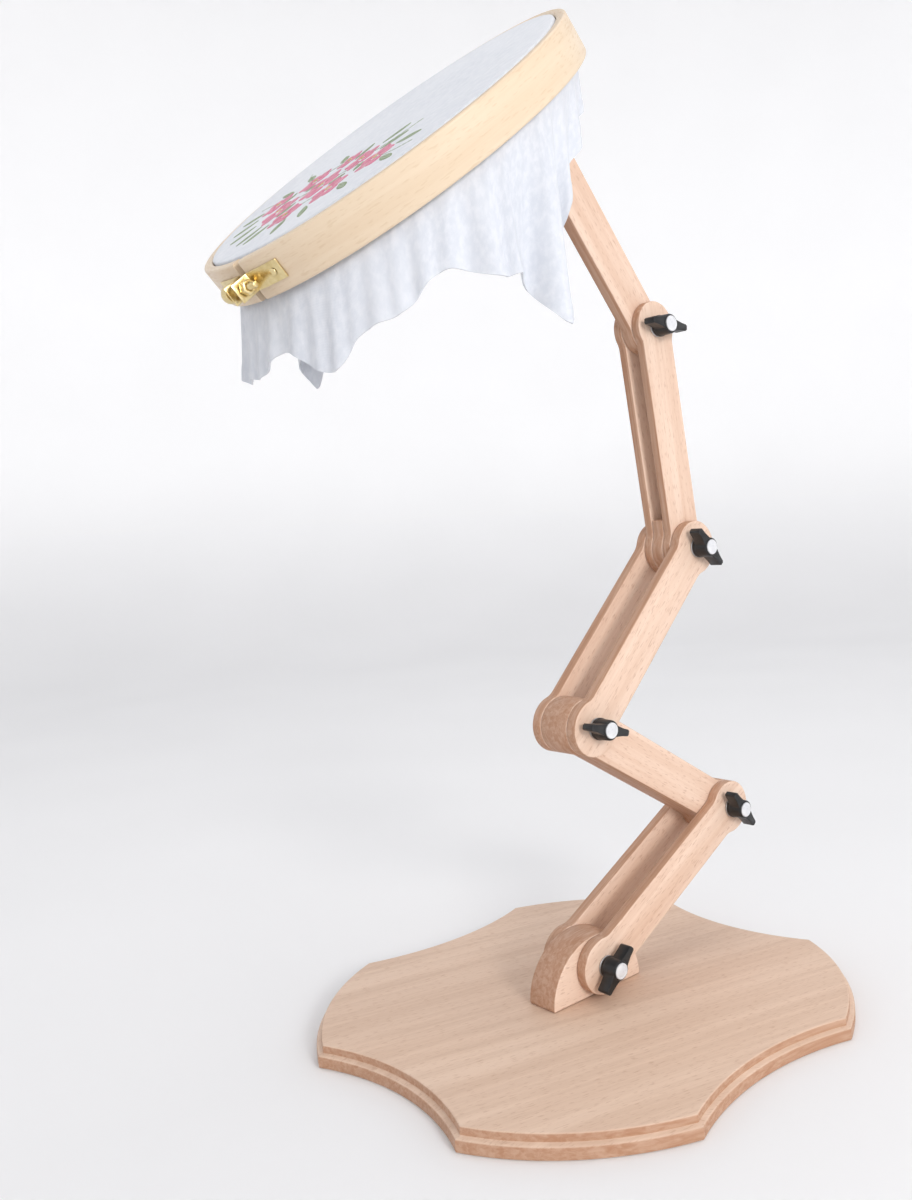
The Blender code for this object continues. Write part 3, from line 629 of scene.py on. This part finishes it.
def bolt_profile(head_face, tip):
    """A bolt with a domed head, and a plain shank that ends in a small chamfer."""
    top = head_face - BOLT_HEAD_TALL
    dome = [(top + BOLT_HEAD_TALL * (1 - math.cos(t)), BOLT_HEAD * math.sin(t)) for t in
            [math.radians(a) for a in range(0, 90, 9)]]
    rim = [
        (head_face - 0.7 * MM, BOLT_HEAD),
        (head_face - 0.2 * MM, BOLT_HEAD),
        (head_face, BOLT_HEAD - 0.3 * MM),
    ]
    shank = [(head_face, BOLT), (tip - 1.0 * MM, BOLT), (tip, BOLT - 1.0 * MM), (tip, 0)]
    dome = [(min(x, head_face - 0.9 * MM), r) for x, r in dome]
    return dome + rim + shank


def wing_outline():
    """One side of the wings, then the other: thick at the hub, waisted, and flat at the tips."""
    right = [
        (3.0 * MM, WING_ROOT_HALF),
        (WING_BEND, 0.72 * WING_ROOT_HALF),
        (WING_WAIST, 0.56 * WING_ROOT_HALF),
        (WING_REACH - 1.0 * MM, WING_TIP_HALF),
        (WING_REACH, WING_TIP_HALF - 1.0 * MM),
    ]
    side = [(-u, v) for u, v in reversed(right)] + right
    return side + [(-u, -v) for u, v in side]


def knob_mesh(look):
    """A wing knob: the hub with its wings, a seat for the cap and a blind bore for the bolt."""
    hub = [
        (0, 0),
        (0, HUB_BACK - 0.8 * MM),
        (0.8 * MM, HUB_BACK),
        (2.6 * MM, HUB_BACK),
        (3.0 * MM, HUB_BACK - 0.4 * MM),
        (HUB_LONG - 1.4 * MM, HUB_FRONT),
        (HUB_LONG - 0.6 * MM, HUB_FRONT - 0.3 * MM),
        (HUB_LONG, HUB_FRONT - 1.0 * MM),
        (HUB_LONG, 0),
    ]
    knob = add("knob_form", mesh_from(turned(hub, 56), "knob_form"), look)
    identity = Matrix.Identity(4)
    boolean(knob, prism(wing_outline(), WING_FROM, WING_TO), identity, "UNION")
    boolean(knob, drill(CAP + GAP, CAP_SEAT, 30 * MM, 48), Matrix.Rotation(0.05, 4, "X"))
    boolean(knob, drill(BOLT + GAP, -5 * MM, BOLT_IN_KNOB + GAP), Matrix.Rotation(0.03, 4, "X"))
    rounded(knob, 0.5 * MM, 2, 30.0)
    apply_modifiers(knob)
    mesh = knob.data
    bpy.data.objects.remove(knob, do_unlink=True)
    return mesh


def cap_profile():
    """The white cap, with a shallow ring in its face."""
    low = CAP_SEAT + GAP
    edge = HUB_LONG + 0.25 * MM
    return [
        (low, 0),
        (low, CAP),
        (edge, CAP),
        (edge + 0.3 * MM, CAP - 0.3 * MM),
        (edge + 0.35 * MM, CAP - 1.2 * MM),
        (edge + 0.15 * MM, CAP - 1.5 * MM),
        (edge + 0.4 * MM, CAP - 2.1 * MM),
        (edge + 0.45 * MM, 0),
    ]


def build_fasteners(looks):
    knob = knob_mesh(looks["knob"])
    plates = BAR_HALF + GAP + PLATE
    faces = [(plates, plates)] * 4 + [(BAR_HALF, BAR_HALF), (TOP_BAR_HALF, HEAD_HALF)]
    owners = ["link_a", "link_a", "link_c", "link_c", "link_d", "link_e"]
    for number, ((back, front), owner) in enumerate(zip(faces, owners)):
        place = along_arm(number)
        level = Matrix.Translation(place.translation)
        seat = front + GAP + WASHER_THICK + GAP
        node = f"joint_{number}_"
        profile = bolt_profile(-back - GAP, seat + BOLT_IN_KNOB)
        bolt = add(f"bolt_{number}", mesh_from(turned(profile), "bolt", 25.0), looks["steel"], place)
        finish_piece(bolt, owner, node + "bolt", slot="zinc_steel")
        ring = [(0, BOLT + GAP), (0, WASHER - 0.2 * MM), (0.2 * MM, WASHER), (1.0 * MM, WASHER),
                (WASHER_THICK, WASHER - 0.2 * MM), (WASHER_THICK, BOLT + GAP)]
        washer = add(f"washer_{number}", mesh_from(turned(ring), "washer"), looks["steel"],
                     moved(place, x=front + GAP))
        finish_piece(washer, owner, node + "washer", slot="zinc_steel")
        turn = Matrix.Rotation(math.radians(KNOB_ANGLES[number]), 4, "X")
        wing = add(f"wing_knob_{number}", knob.copy(), None, moved(level, x=seat) @ turn)
        finish_piece(wing, f"knob_{number}", node + "wing_knob", slot="knob_plastic")
        cap_form = mesh_from(turned(cap_profile()), "cap")
        cap = add(f"cap_{number}", cap_form, looks["cap"], moved(level, x=seat) @ turn)
        finish_piece(cap, f"knob_{number}", node + "knob_cap", slot="cap_plastic")


# -------------------- the clamp


def build_clamp(looks):
    """The head between its two prongs: moulded round the hinge, slotted, and drilled."""
    head = along_arm(5)
    front = SLOT_FRONT + PRONG
    rear = SLOT_REAR - PRONG
    tall = PRONG_AXIS + HEAD_HALF + 5 * MM
    meets_front = math.degrees(math.asin(front / LUG))
    outline = arc((0, 0), LUG, meets_front, LUG_REAR_ANGLE, 60)
    outline += [(RABBET_TOP, rear), (tall, rear), (tall, front)]
    clamp = add("clamp_jaws", mesh_from(prism(outline, -HEAD_HALF, HEAD_HALF), "clamp"), looks["clamp"], head)
    mould = [(-30 * MM, HEAD_HALF), (-30 * MM, -HEAD_HALF)] + arc((PRONG_AXIS, 0), HEAD_HALF, -90, 90, 40)
    across = Matrix.Rotation(math.radians(90), 4, "Y")
    boolean(clamp, prism(mould, -40 * MM, 40 * MM), head @ across, "INTERSECT")
    boolean(clamp, block((-40 * MM, -40 * MM, -40 * MM), (TOP_BAR_HALF + GAP, RABBET_TOP, 40 * MM)), head)
    boolean(clamp, block((-40 * MM, SLOT_FLOOR, SLOT_REAR), (40 * MM, 90 * MM, SLOT_FRONT)), head)
    boolean(clamp, drill(BOLT + GAP, -70 * MM, 70 * MM), head)
    boolean(clamp, drill(BOLT + GAP, -70 * MM, 70 * MM), moved(head, y=PRONG_AXIS) @ across)
    rounded(clamp, 1.2 * MM, 3, 40.0)
    finish_piece(clamp, "clamp", "clamp_block", slot="clamp_wood")

    clamp_screw("front", head, front + GAP, FRONT_DISC_THICK, FRONT_TIP, looks)
    clamp_screw("rear", head, rear - GAP - REAR_SCREW_OUT, REAR_DISC_THICK, REAR_TIP, looks)


def clamp_screw(side, head, seat, thick, tip, looks):
    """A wooden thumb screw: a domed disc on a plain shank that reaches from its seat to its tip."""
    out = 1 if seat > tip else -1
    long = abs(seat - tip)
    over = 2.6 * MM
    face = [(thick - over + over * math.sin(t), SCREW_DISC - over + over * math.cos(t)) for t in
            [math.radians(a) for a in range(0, 91, 15)]]
    profile = [
        (-long, 0),
        (-long, BOLT - 0.6 * MM),
        (-long + 0.6 * MM, BOLT),
        (0, BOLT),
        (0, SCREW_DISC - 1.0 * MM),
        (0.4 * MM, SCREW_DISC - 0.2 * MM),
        (1.0 * MM, SCREW_DISC),
        *face,
        (thick, 0),
    ]
    turn = Matrix.Rotation(math.radians(-90 * out), 4, "Y")
    place = moved(head, y=PRONG_AXIS, z=seat) @ turn
    form = mesh_from(turned(profile, 64), "thumb_screw")
    screw = add(f"thumb_screw_{side}", form, looks["thumb_screw"], place)
    finish_piece(screw, f"clamp_{side}_screw", f"clamp_screw_{side}", slot="clamp_wood")


# -------------------- the rings and their brass


def ring_section(inner, outer):
    """The strip's section, (radius, height): corners rounded to a sanded edge."""
    points = []
    r = 1.5 * MM
    corners = [(outer - r, RING_TALL_HALF - r, 0), (inner + r, RING_TALL_HALF - r, 90),
               (inner + r, -RING_TALL_HALF + r, 180), (outer - r, -RING_TALL_HALF + r, 270)]
    for x, z, start in corners:
        points += arc((x, z), r, start, start + 90, 5)
    return points


def swept(section, start, end, steps):
    """A section carried round the Z axis, from one angle in degrees to another."""
    rings = []
    whole = end - start >= 360
    for i in range(steps if whole else steps + 1):
        angle = math.radians(start + (end - start) * i / steps)
        rings.append([(r * math.cos(angle), r * math.sin(angle), z) for r, z in section])
    return lofted(rings, whole)


def build_rings(looks):
    place = hoop_place()
    inner = add("inner_ring", mesh_from(swept(ring_section(*INNER_RING), 0, 360, 180), "inner_ring"),
                looks["ring_inner"], place)
    finish_piece(inner, "hoop", "hoop_inner_ring", slot="ring_wood")
    split = swept(ring_section(*OUTER_RING), 270 + RING_GAP_HALF, 630 - RING_GAP_HALF, 180)
    outer = add("outer_ring", mesh_from(split, "outer_ring"), looks["ring_outer"], place)
    finish_piece(outer, "hoop", "hoop_outer_ring", slot="ring_wood")


def bracket_outline(side):
    """A strip of brass along the outer ring, bent out into a lug at the split."""
    inside = OUTER_RING[1] + GAP
    outside = inside + BRACKET_SHEET
    start = 270 + side * BRACKET_NEAR
    end = 270 + side * BRACKET_FAR
    bend = start + side * math.degrees(1.8 * BRACKET_SHEET / outside)
    outline = arc((0, 0), inside, start, end, 16) + arc((0, 0), outside, end, bend, 16)
    edge = outline[0][0]
    lug_y = -inside - BRACKET_LUG
    corner = (edge + side * BRACKET_SHEET, outline[-1][1])
    return outline + [corner, (edge + side * BRACKET_SHEET, lug_y), (edge, lug_y)]


def knurled(steps):
    """The screw's knurled head: a short star-shaped cylinder."""
    outline = []
    for i in range(steps):
        radius = HOOP_SCREW_HEAD if i % 2 else HOOP_SCREW_HEAD - 0.45 * MM
        turn = math.tau * i / steps
        outline.append((radius * math.cos(turn), radius * math.sin(turn)))
    return outline


def build_brass(looks):
    place = hoop_place()
    axis = moved(place, y=-OUTER_RING[1] - HOOP_SCREW_OUT)
    for name, side in (("left", -1), ("right", 1)):
        bracket = add(f"bracket_{name}", mesh_from(prism(bracket_outline(side), -BRACKET_TALL_HALF,
                      BRACKET_TALL_HALF, "Z"), "bracket"), looks["brass"], place)
        boolean(bracket, drill(HOOP_SCREW + GAP, -30 * MM, 30 * MM, 24), axis)
        rounded(bracket, 0.3 * MM, 2, 40.0)
        finish_piece(bracket, "hoop", f"hoop_bracket_{name}", slot="brass")
        angle = math.radians(270 + side * RIVET_ANGLE)
        spot = Matrix.Translation((OUTER_RING[1] * math.cos(angle), OUTER_RING[1] * math.sin(angle), 0))
        head = GAP + BRACKET_SHEET + GAP
        dome = [(head + 1.0 * MM * math.sin(t), 2.4 * MM * math.cos(t)) for t in
                [math.radians(a) for a in range(0, 90, 15)]]
        profile = [(-4.0 * MM, 0), (-4.0 * MM, 1.2 * MM), (head, 1.2 * MM), *dome, (head + 1.0 * MM, 0)]
        rivet = add(f"rivet_{name}", mesh_from(turned(profile, 28), "rivet"), looks["brass"],
                    place @ spot @ Matrix.Rotation(angle, 4, "Z"))
        finish_piece(rivet, "hoop", f"hoop_rivet_{name}", slot="brass")

    lug_face = OUTER_RING[1] * math.sin(math.radians(BRACKET_NEAR)) + BRACKET_SHEET + GAP
    head_from = -lug_face - GAP
    far = head_from - HOOP_SCREW_HEAD_LONG
    shank = [(far + 1.0 * MM, 0), (far + 1.0 * MM, 3.0 * MM), (head_from, 3.0 * MM), (head_from, HOOP_SCREW)]
    turns = int((HOOP_SCREW_END - 1.0 * MM - head_from) / SCREW_PITCH)
    for i in range(turns):
        x = head_from + SCREW_PITCH * i
        shank += [(x + 0.15 * MM, HOOP_SCREW), (x + 0.5 * MM, HOOP_SCREW - 0.3 * MM)]
    shank += [(HOOP_SCREW_END, HOOP_SCREW - 0.4 * MM), (HOOP_SCREW_END, 0)]
    screw = add("tightening_screw", mesh_from(turned(shank, 28), "screw"), looks["brass"], axis)
    boolean(screw, prism(knurled(48), far, head_from - 3.2 * MM), axis, "UNION")
    rounded(screw, 0.25 * MM, 2, 50.0)
    finish_piece(screw, "hoop_tightening_screw", "hoop_screw", slot="brass")
    start = lug_face + GAP
    nut_profile = [(start, HOOP_SCREW + GAP), (start, HOOP_NUT), (start + HOOP_NUT_LONG, HOOP_NUT),
                   (start + HOOP_NUT_LONG, HOOP_SCREW + GAP)]
    nut = add("nut", mesh_from(turned(nut_profile, 6), "nut"), looks["brass"], axis)
    rounded(nut, 0.35 * MM, 2, 30.0)
    finish_piece(nut, "hoop", "hoop_nut", slot="brass")


# -------------------- the cloth


def cut_edge(angle):
    """Distance from the sheet's centre to its cut edge: a square on its corner, with two corners trimmed."""
    diagonal = math.radians(angle - 45)
    edge = CLOTH_SQUARE_HALF / max(abs(math.cos(diagonal)), abs(math.sin(diagonal)))
    across = abs(math.sin(math.radians(angle)))
    if across > 0.5:
        edge = min(edge, CLOTH_TRIM / across)
    return edge


def notch(angle):
    """0 over the clamp, 1 where the cloth hangs free, rising over a few degrees."""
    off = abs((angle - 90 + 180) % 360 - 180)
    t = min(max((off - CLAMP_NOTCH) / 5.0, 0.0), 1.0)
    return t * t * (3 - 2 * t)


def sheet_mesh():
    """The sheet as a polar grid. Returns the mesh, each point's place on the flat cut, how many of its loops
    are held by the rings, and which points are in the hem."""
    steps, falls = CLOTH_STEPS, CLOTH_FALLS
    down = hoop_place().to_3x3().inverted() @ Vector((0, 0, -1))
    bend = 0.5 * MM
    drum = [CLOTH_RADIUS * s for s in (0.12, 0.25, 0.38, 0.5, 0.61, 0.71, 0.8, 0.88, 0.94, 0.975)]
    held = [(r, r, CLOTH_TOP) for r in drum]
    held.append((CLOTH_RADIUS - bend, CLOTH_RADIUS - bend, CLOTH_TOP))
    held.append((CLOTH_RADIUS, CLOTH_RADIUS, CLOTH_TOP - bend))
    for depth in (4, 8, 12, 16, 20, 23.5):
        held.append((CLOTH_RADIUS + depth * MM, CLOTH_RADIUS, CLOTH_TOP - bend - depth * MM))
    verts = [(0, 0, CLOTH_TOP)]
    flat = [(0, 0, 0)]
    for cut, radius, z in held:
        for i in range(steps):
            turn = math.tau * i / steps
            verts.append((radius * math.cos(turn), radius * math.sin(turn), z))
            flat.append((cut * math.cos(turn), cut * math.sin(turn), 0))
    for j in range(1, falls + 1):
        for i in range(steps):
            angle = 360 * i / steps
            turn = math.radians(angle)
            loose = notch(angle) * (cut_edge(angle) - CLOTH_USED) + (1 - notch(angle)) * CLOTH_FOLDED
            hem = min(HEM, 0.5 * loose)
            rows = falls - HEM_ROWS
            fall = (loose - hem) * j / rows if j <= rows else loose - hem + hem * (j - rows) / HEM_ROWS
            cut = CLOTH_USED + fall
            wave = 0.16 * fall * math.sin(math.radians(CLOTH_LOBES * angle + 40))
            radius = CLOTH_RADIUS + 0.38 * fall + wave
            start = Vector((radius * math.cos(turn), radius * math.sin(turn), held[-1][2]))
            verts.append(tuple(start + down * fall * 0.95))
            flat.append((cut * math.cos(turn), cut * math.sin(turn), 0))
    faces = [(0, 1 + i, 1 + (i + 1) % steps) for i in range(steps)]
    for j in range(len(held) + falls - 1):
        inner = 1 + j * steps
        outer = inner + steps
        for i in range(steps):
            k = (i + 1) % steps
            faces.append((inner + i, outer + i, outer + k, inner + k))
    mesh = bpy.data.meshes.new("sheet")
    mesh.from_pydata(verts, [], faces)
    layer = mesh.uv_layers.new(name="flat")
    for loop in mesh.loops:
        x, y, _ = flat[loop.vertex_index]
        layer.data[loop.index].uv = (x + 0.3, y + 0.3)
    hem_start = 1 + (len(held) + falls - HEM_ROWS) * steps
    return mesh, flat, len(held), range(hem_start, len(verts))


def simulate(sheet, flat, held_count):
    """Lets the loose part of the sheet settle under gravity. It hangs clear of everything by itself, and
    without collisions the result is the same on every run."""
    sheet.shape_key_add(name="Basis")
    key = sheet.shape_key_add(name="cut")
    for point, spot in zip(key.data, flat):
        point.co = spot
    key.value = 0.0
    pinned = sheet.vertex_groups.new(name="held")
    pinned.add(list(range(1 + held_count * CLOTH_STEPS)), 1.0, "REPLACE")
    cloth = sheet.modifiers.new("cloth", "CLOTH")
    settings = cloth.settings
    settings.quality = 8
    settings.mass = 0.10
    settings.air_damping = 2.5
    settings.tension_stiffness = 20
    settings.compression_stiffness = 40
    settings.shear_stiffness = 4
    settings.bending_stiffness = 0.3
    settings.tension_damping = 8
    settings.compression_damping = 8
    settings.shear_damping = 8
    settings.bending_damping = 0.6
    settings.vertex_group_mass = "held"
    settings.rest_shape_key = key
    cloth.collision_settings.use_collision = False
    cloth.collision_settings.use_self_collision = False
    cloth.point_cache.frame_start = 1
    cloth.point_cache.frame_end = CLOTH_SIM_FRAMES
    for frame_number in range(1, CLOTH_SIM_FRAMES + 1):
        bpy.context.scene.frame_set(frame_number)
    graph = bpy.context.evaluated_depsgraph_get()
    settled = bpy.data.meshes.new_from_object(sheet.evaluated_get(graph))
    sheet.modifiers.clear()
    sheet.shape_key_clear()
    sheet.data = settled
    bpy.context.scene.frame_set(1)


def build_cloth(looks):
    mesh, flat, held_count, hem_points = sheet_mesh()
    sheet = add("cloth", mesh, looks["cotton"], hoop_place())
    hem = sheet.vertex_groups.new(name="hem")
    hem.add(list(hem_points), 1.0, "REPLACE")
    simulate(sheet, flat, held_count)
    smooth = sheet.modifiers.new("smooth", "SUBSURF")
    smooth.levels = 1
    smooth.render_levels = 1
    thick = sheet.modifiers.new("thickness", "SOLIDIFY")
    thick.thickness = HEM_THICK
    thick.offset = 0.0
    thick.vertex_group = "hem"
    thick.thickness_vertex_group = CLOTH_THICK / HEM_THICK
    finish_piece(sheet, "hoop", "cloth_drum", "cloth_skirt", slot="cotton", smooth_angle=80.0)


# -------------------- the embroidery


def stitch(bm, start, end, radius, height):
    """One thread lying on the cloth: a low rounded bar with pointed ends."""
    start = Vector(start)
    end = Vector(end)
    along = (end - start).normalized()
    side = Vector((-along.y, along.x, 0))
    rings = []
    for share, swell in ((0.0, 0.3), (0.12, 0.85), (0.5, 1.0), (0.88, 0.85), (1.0, 0.3)):
        middle = start.lerp(end, share)
        ring = []
        for step in range(5):
            turn = math.pi * step / 4
            offset = side * radius * swell * math.cos(turn)
            ring.append(bm.verts.new((middle.x + offset.x, middle.y + offset.y,
                                      height + radius * swell * (0.9 * math.sin(turn) - 0.15))))
        rings.append(ring)
    for here, there in zip(rings, rings[1:]):
        for i in range(5):
            j = (i + 1) % 5
            bm.faces.new((here[i], here[j], there[j], there[i]))
    bm.faces.new(reversed(rings[0]))
    bm.faces.new(rings[-1])


def satin_leaf(bm, base, tip, width, height):
    """A petal or leaf filled with slanting stitches either side of its vein."""
    base = Vector((*base, 0))
    tip = Vector((*tip, 0))
    along = tip - base
    threads = round(along.length / (1.75 * THREAD))
    side = Vector((-along.y, along.x, 0)).normalized()
    for i in range(threads):
        share = (i + 0.5) / threads
        half = width * math.sin(math.pi * share) ** 0.75 / 2
        middle = base + along * share
        for sign in (-1, 1):
            out = middle + side * sign * max(half, 0.25 * MM) + along * 0.10
            stitch(bm, middle, out, THREAD, height)


def flower(bm, centre, size, turn, height):
    """Five satin-stitched petals."""
    for i in range(5):
        angle = turn + math.tau * i / 5
        inner = (centre[0] + 0.18 * size * math.cos(angle), centre[1] + 0.18 * size * math.sin(angle))
        outer = (centre[0] + size * math.cos(angle), centre[1] + size * math.sin(angle))
        satin_leaf(bm, inner, outer, 0.85 * size, height)


def knots(bm, centre, size, height):
    """French knots in a flower's middle."""
    for i in range(7):
        angle = math.tau * i / 6
        reach = 0.0 if i == 6 else 0.12 * size
        spot = (centre[0] + reach * math.cos(angle), centre[1] + reach * math.sin(angle), 0)
        end = (spot[0] + 0.5 * MM, spot[1] + 0.4 * MM, 0)
        stitch(bm, spot, end, 0.45 * MM, height + 0.35 * MM)


def stem(bm, start, end, sag, height):
    """A line of stitches along a shallow curve."""
    pieces = 9
    direction = Vector((end[0] - start[0], end[1] - start[1]))
    side = Vector((-direction.y, direction.x)).normalized()
    points = []
    for i in range(pieces + 1):
        share = i / pieces
        spot = Vector(start) + direction * share + side * sag * math.sin(math.pi * share)
        points.append((spot.x, spot.y, 0))
    for here, there in zip(points, points[1:]):
        stitch(bm, here, there, 0.3 * MM, height)


def build_embroidery(looks):
    """A generic spray of five-petalled flowers and leaves, on the half of the drum towards the screw."""
    height = CLOTH_TOP + CLOTH_THICK / 2
    flowers = [
        ((-60, -46), 12, 0.2),
        ((-36, -64), 14, 0.9),
        ((-8, -80), 12, 0.5),
        ((-32, -33), 12, 1.3),
        ((-4, -51), 15, 0.1),
        ((24, -68), 13, 0.7),
        ((22, -36), 12, 1.0),
        ((50, -49), 13, 0.4),
        ((-4, -24), 9, 0.0),
    ]
    rose, core, green = bmesh.new(), bmesh.new(), bmesh.new()
    for (x, y), size, turn in flowers:
        centre = (x * MM, y * MM)
        flower(rose, centre, size * MM, turn, height)
        knots(core, centre, size * MM, height)
    leaves = [
        ((-72, -50), (-90, -56)),
        ((-66, -60), (-80, -72)),
        ((-52, -72), (-64, -86)),
        ((-34, -80), (-42, -96)),
        ((-20, -84), (-28, -100)),
        ((4, -88), (10, -105)),
        ((18, -82), (30, -97)),
        ((38, -70), (54, -80)),
        ((62, -56), (80, -64)),
        ((62, -42), (82, -40)),
        ((40, -36), (56, -26)),
        ((30, -24), (42, -10)),
        ((8, -30), (10, -14)),
        ((-14, -22), (-24, -10)),
        ((-44, -26), (-58, -16)),
        ((-56, -34), (-74, -30)),
        ((-18, -62), (-24, -74)),
        ((12, -58), (22, -52)),
        ((-20, -42), (-24, -48)),
        ((36, -56), (34, -46)),
        ((-48, -50), (-46, -40)),
    ]
    for base, tip in leaves:
        satin_leaf(green, [c * MM for c in base], [c * MM for c in tip], 6.5 * MM, height)
    stems = [
        ((-90, -40), (-60, -46), 3),
        ((-60, -46), (-4, -51), -5),
        ((-4, -51), (50, -49), 4),
        ((50, -49), (88, -52), -3),
        ((-36, -64), (-8, -80), 3),
        ((-8, -80), (24, -68), 3),
        ((-32, -33), (-4, -24), 3),
        ((-4, -24), (22, -36), 3),
        ((22, -36), (60, -14), -4),
        ((-32, -33), (-66, -8), 4),
    ]
    for start, end, sag in stems:
        stem(green, [c * MM for c in start], [c * MM for c in end], sag * MM, height)
    for name, bm in (("rose", rose), ("core", core), ("green", green)):
        piece = add(f"embroidery_{name}", mesh_from(bm, name, 60.0), looks[f"thread_{name}"], hoop_place())
        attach(piece, "hoop")


# -------------------- light, floor and camera


def build_stage(looks):
    """A round floor whose far edge curves up into a wall on every side, well outside the lights."""
    level = STAGE_RADIUS - STAGE_BEND
    profile = [(0.0, 0.0), (level, 0.0)]
    profile += [(level + x, STAGE_BEND + z) for x, z in arc((0, 0), STAGE_BEND, -80, 0, 8)]
    profile += [(STAGE_RADIUS, STAGE_TALL)]
    bm = bmesh.new()
    verts = [bm.verts.new((x, 0, z)) for x, z in profile]
    edges = [bm.edges.new(pair) for pair in zip(verts, verts[1:])]
    bmesh.ops.spin(
        bm, geom=verts + edges, cent=(0, 0, 0), axis=(0, 0, 1), angle=math.tau, steps=96, use_merge=True
    )
    bmesh.ops.remove_doubles(bm, verts=bm.verts, dist=1e-6)
    floor = add("floor", mesh_from(bm, "floor", 60.0), looks["floor"], Matrix.Translation((0, 0, -0.0002)))


def area_light(name, spot, target, size, power, colour):
    data = bpy.data.lights.new(name, "AREA")
    data.shape = "RECTANGLE"
    data.size, data.size_y = size
    data.energy = power
    data.color = colour
    obj = bpy.data.objects.new(name, data)
    obj.location = spot
    aim = Vector(target) - Vector(spot)
    obj.rotation_euler = aim.to_track_quat("-Z", "Y").to_euler()
    bpy.context.scene.collection.objects.link(obj)


def build_light():
    area_light("key", (2.9, -0.6, 1.2), (0, 0, 0.3), (0.8, 0.8), 43, (1.0, 0.98, 0.96))
    area_light("top", (0.0, 0.3, 2.9), (0, 0, 0.2), (2.4, 2.4), 27, (1.0, 1.0, 1.0))
    world = bpy.data.worlds.new("studio")
    world.use_nodes = True
    world.node_tree.nodes["Background"].inputs["Color"].default_value = (0.96, 0.97, 1.0, 1.0)
    world.node_tree.nodes["Background"].inputs["Strength"].default_value = 0.25
    bpy.context.scene.world = world
    bpy.context.scene.view_settings.view_transform = "Standard"


def build_camera():
    """Level with the middle of the stand, in front and to its right, and rolled a little."""
    azimuth, elevation, roll = (math.radians(a) for a in (CAMERA_AZIMUTH, CAMERA_ELEVATION, CAMERA_ROLL))
    back = Vector((math.cos(elevation) * math.sin(azimuth), -math.cos(elevation) * math.cos(azimuth),
                   math.sin(elevation)))
    right = Vector((math.cos(azimuth), math.sin(azimuth), 0))
    up = back.cross(right)
    tilt = Matrix.Rotation(roll, 3, back)
    data = bpy.data.cameras.new("camera")
    data.lens = CAMERA_LENS
    data.sensor_width = 36
    data.shift_x, data.shift_y = CAMERA_SHIFT
    camera = bpy.data.objects.new("camera", data)
    axes = Matrix((tilt @ right, tilt @ up, tilt @ back)).transposed().to_4x4()
    camera.matrix_world = Matrix.Translation(CAMERA_SPOT) @ axes
    bpy.context.scene.collection.objects.link(camera)
    bpy.context.scene.camera = camera


# -------------------- putting it together


def make_looks():
    fleck = (0.48, 0.28, 0.19)
    # The edge tone, used on the sides of the board and the beech pieces: mostly painted shade, a little
    # browner wood.
    edge = (0.39, 0.18, 0.09)
    beech = ((0.80, 0.61, 0.49), (0.70, 0.49, 0.37), fleck, edge)
    board = ((0.77, 0.575, 0.445), (0.66, 0.465, 0.345), fleck, edge)
    honey = ((0.66, 0.43, 0.21), (0.52, 0.31, 0.13), (0.36, 0.20, 0.08), edge)
    cream = ((0.76, 0.625, 0.47), (0.68, 0.52, 0.36), (0.58, 0.41, 0.25), edge)
    looks = {"board": wood("board_beech", board, 2, seed=3.0, turn=BOARD_GRAIN, figure=0.8)}
    pieces = ["foot", "bar_b", "plate_a_left", "plate_a_right", "plate_c_left", "plate_c_right",
              "plate_d_left", "plate_d_right", "filler_d", "bar_e"]
    for i, name in enumerate(pieces):
        looks[name] = wood(name + "_beech", beech, 0, seed=11.0 + 7.3 * i)
    looks["clamp"] = wood("clamp_wood", honey, seed=81.0, roughness=0.45)
    looks["thumb_screw"] = wood("thumb_screw_wood", honey, seed=93.0, roughness=0.45)
    for name, radius, seed in (("ring_inner", 118 * MM, 41.0), ("ring_outer", 126 * MM, 57.0)):
        looks[name] = wood(name + "_wood", cream, seed=seed, roughness=0.38, around=radius, figure=0.6)
    looks["knob"] = plastic("black_plastic", (0.006, 0.006, 0.007), (0.012, 0.012, 0.013), 0.36, 0.3)
    looks["cap"] = plastic("white_plastic", (0.66, 0.67, 0.70), (0.74, 0.75, 0.77), 0.35, 0.2)
    looks["steel"] = metal("zinc_steel", (0.62, 0.63, 0.65), (0.50, 0.50, 0.50), 0.34, (1.0, 5.0, 5.0))
    looks["brass"] = metal("bright_brass", (0.80, 0.66, 0.36), (0.72, 0.57, 0.28), 0.27, (2.0, 2.0, 9.0))
    looks["cotton"] = cotton()
    looks["thread_rose"] = thread("rose_thread", (0.50, 0.07, 0.17), (0.68, 0.20, 0.32))
    looks["thread_core"] = thread("straw_thread", (0.70, 0.48, 0.14), (0.55, 0.34, 0.08))
    looks["thread_green"] = thread("green_thread", (0.13, 0.20, 0.09), (0.24, 0.32, 0.16))
    looks["floor"] = backdrop()
    return looks


def main():
    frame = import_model()
    looks = make_looks()
    build_camera()
    build_base(looks)
    build_arm(looks)
    build_fasteners(looks)
    build_clamp(looks)
    build_rings(looks)
    build_brass(looks)
    build_cloth(looks)
    build_embroidery(looks)
    for node in ("foot_screw_front", "foot_screw_back"):
        solid = frame["nodes"][node]
        solid.data.materials.clear()
        solid.data.materials.append(looks["steel"])
    build_stage(looks)
    build_light()


main()
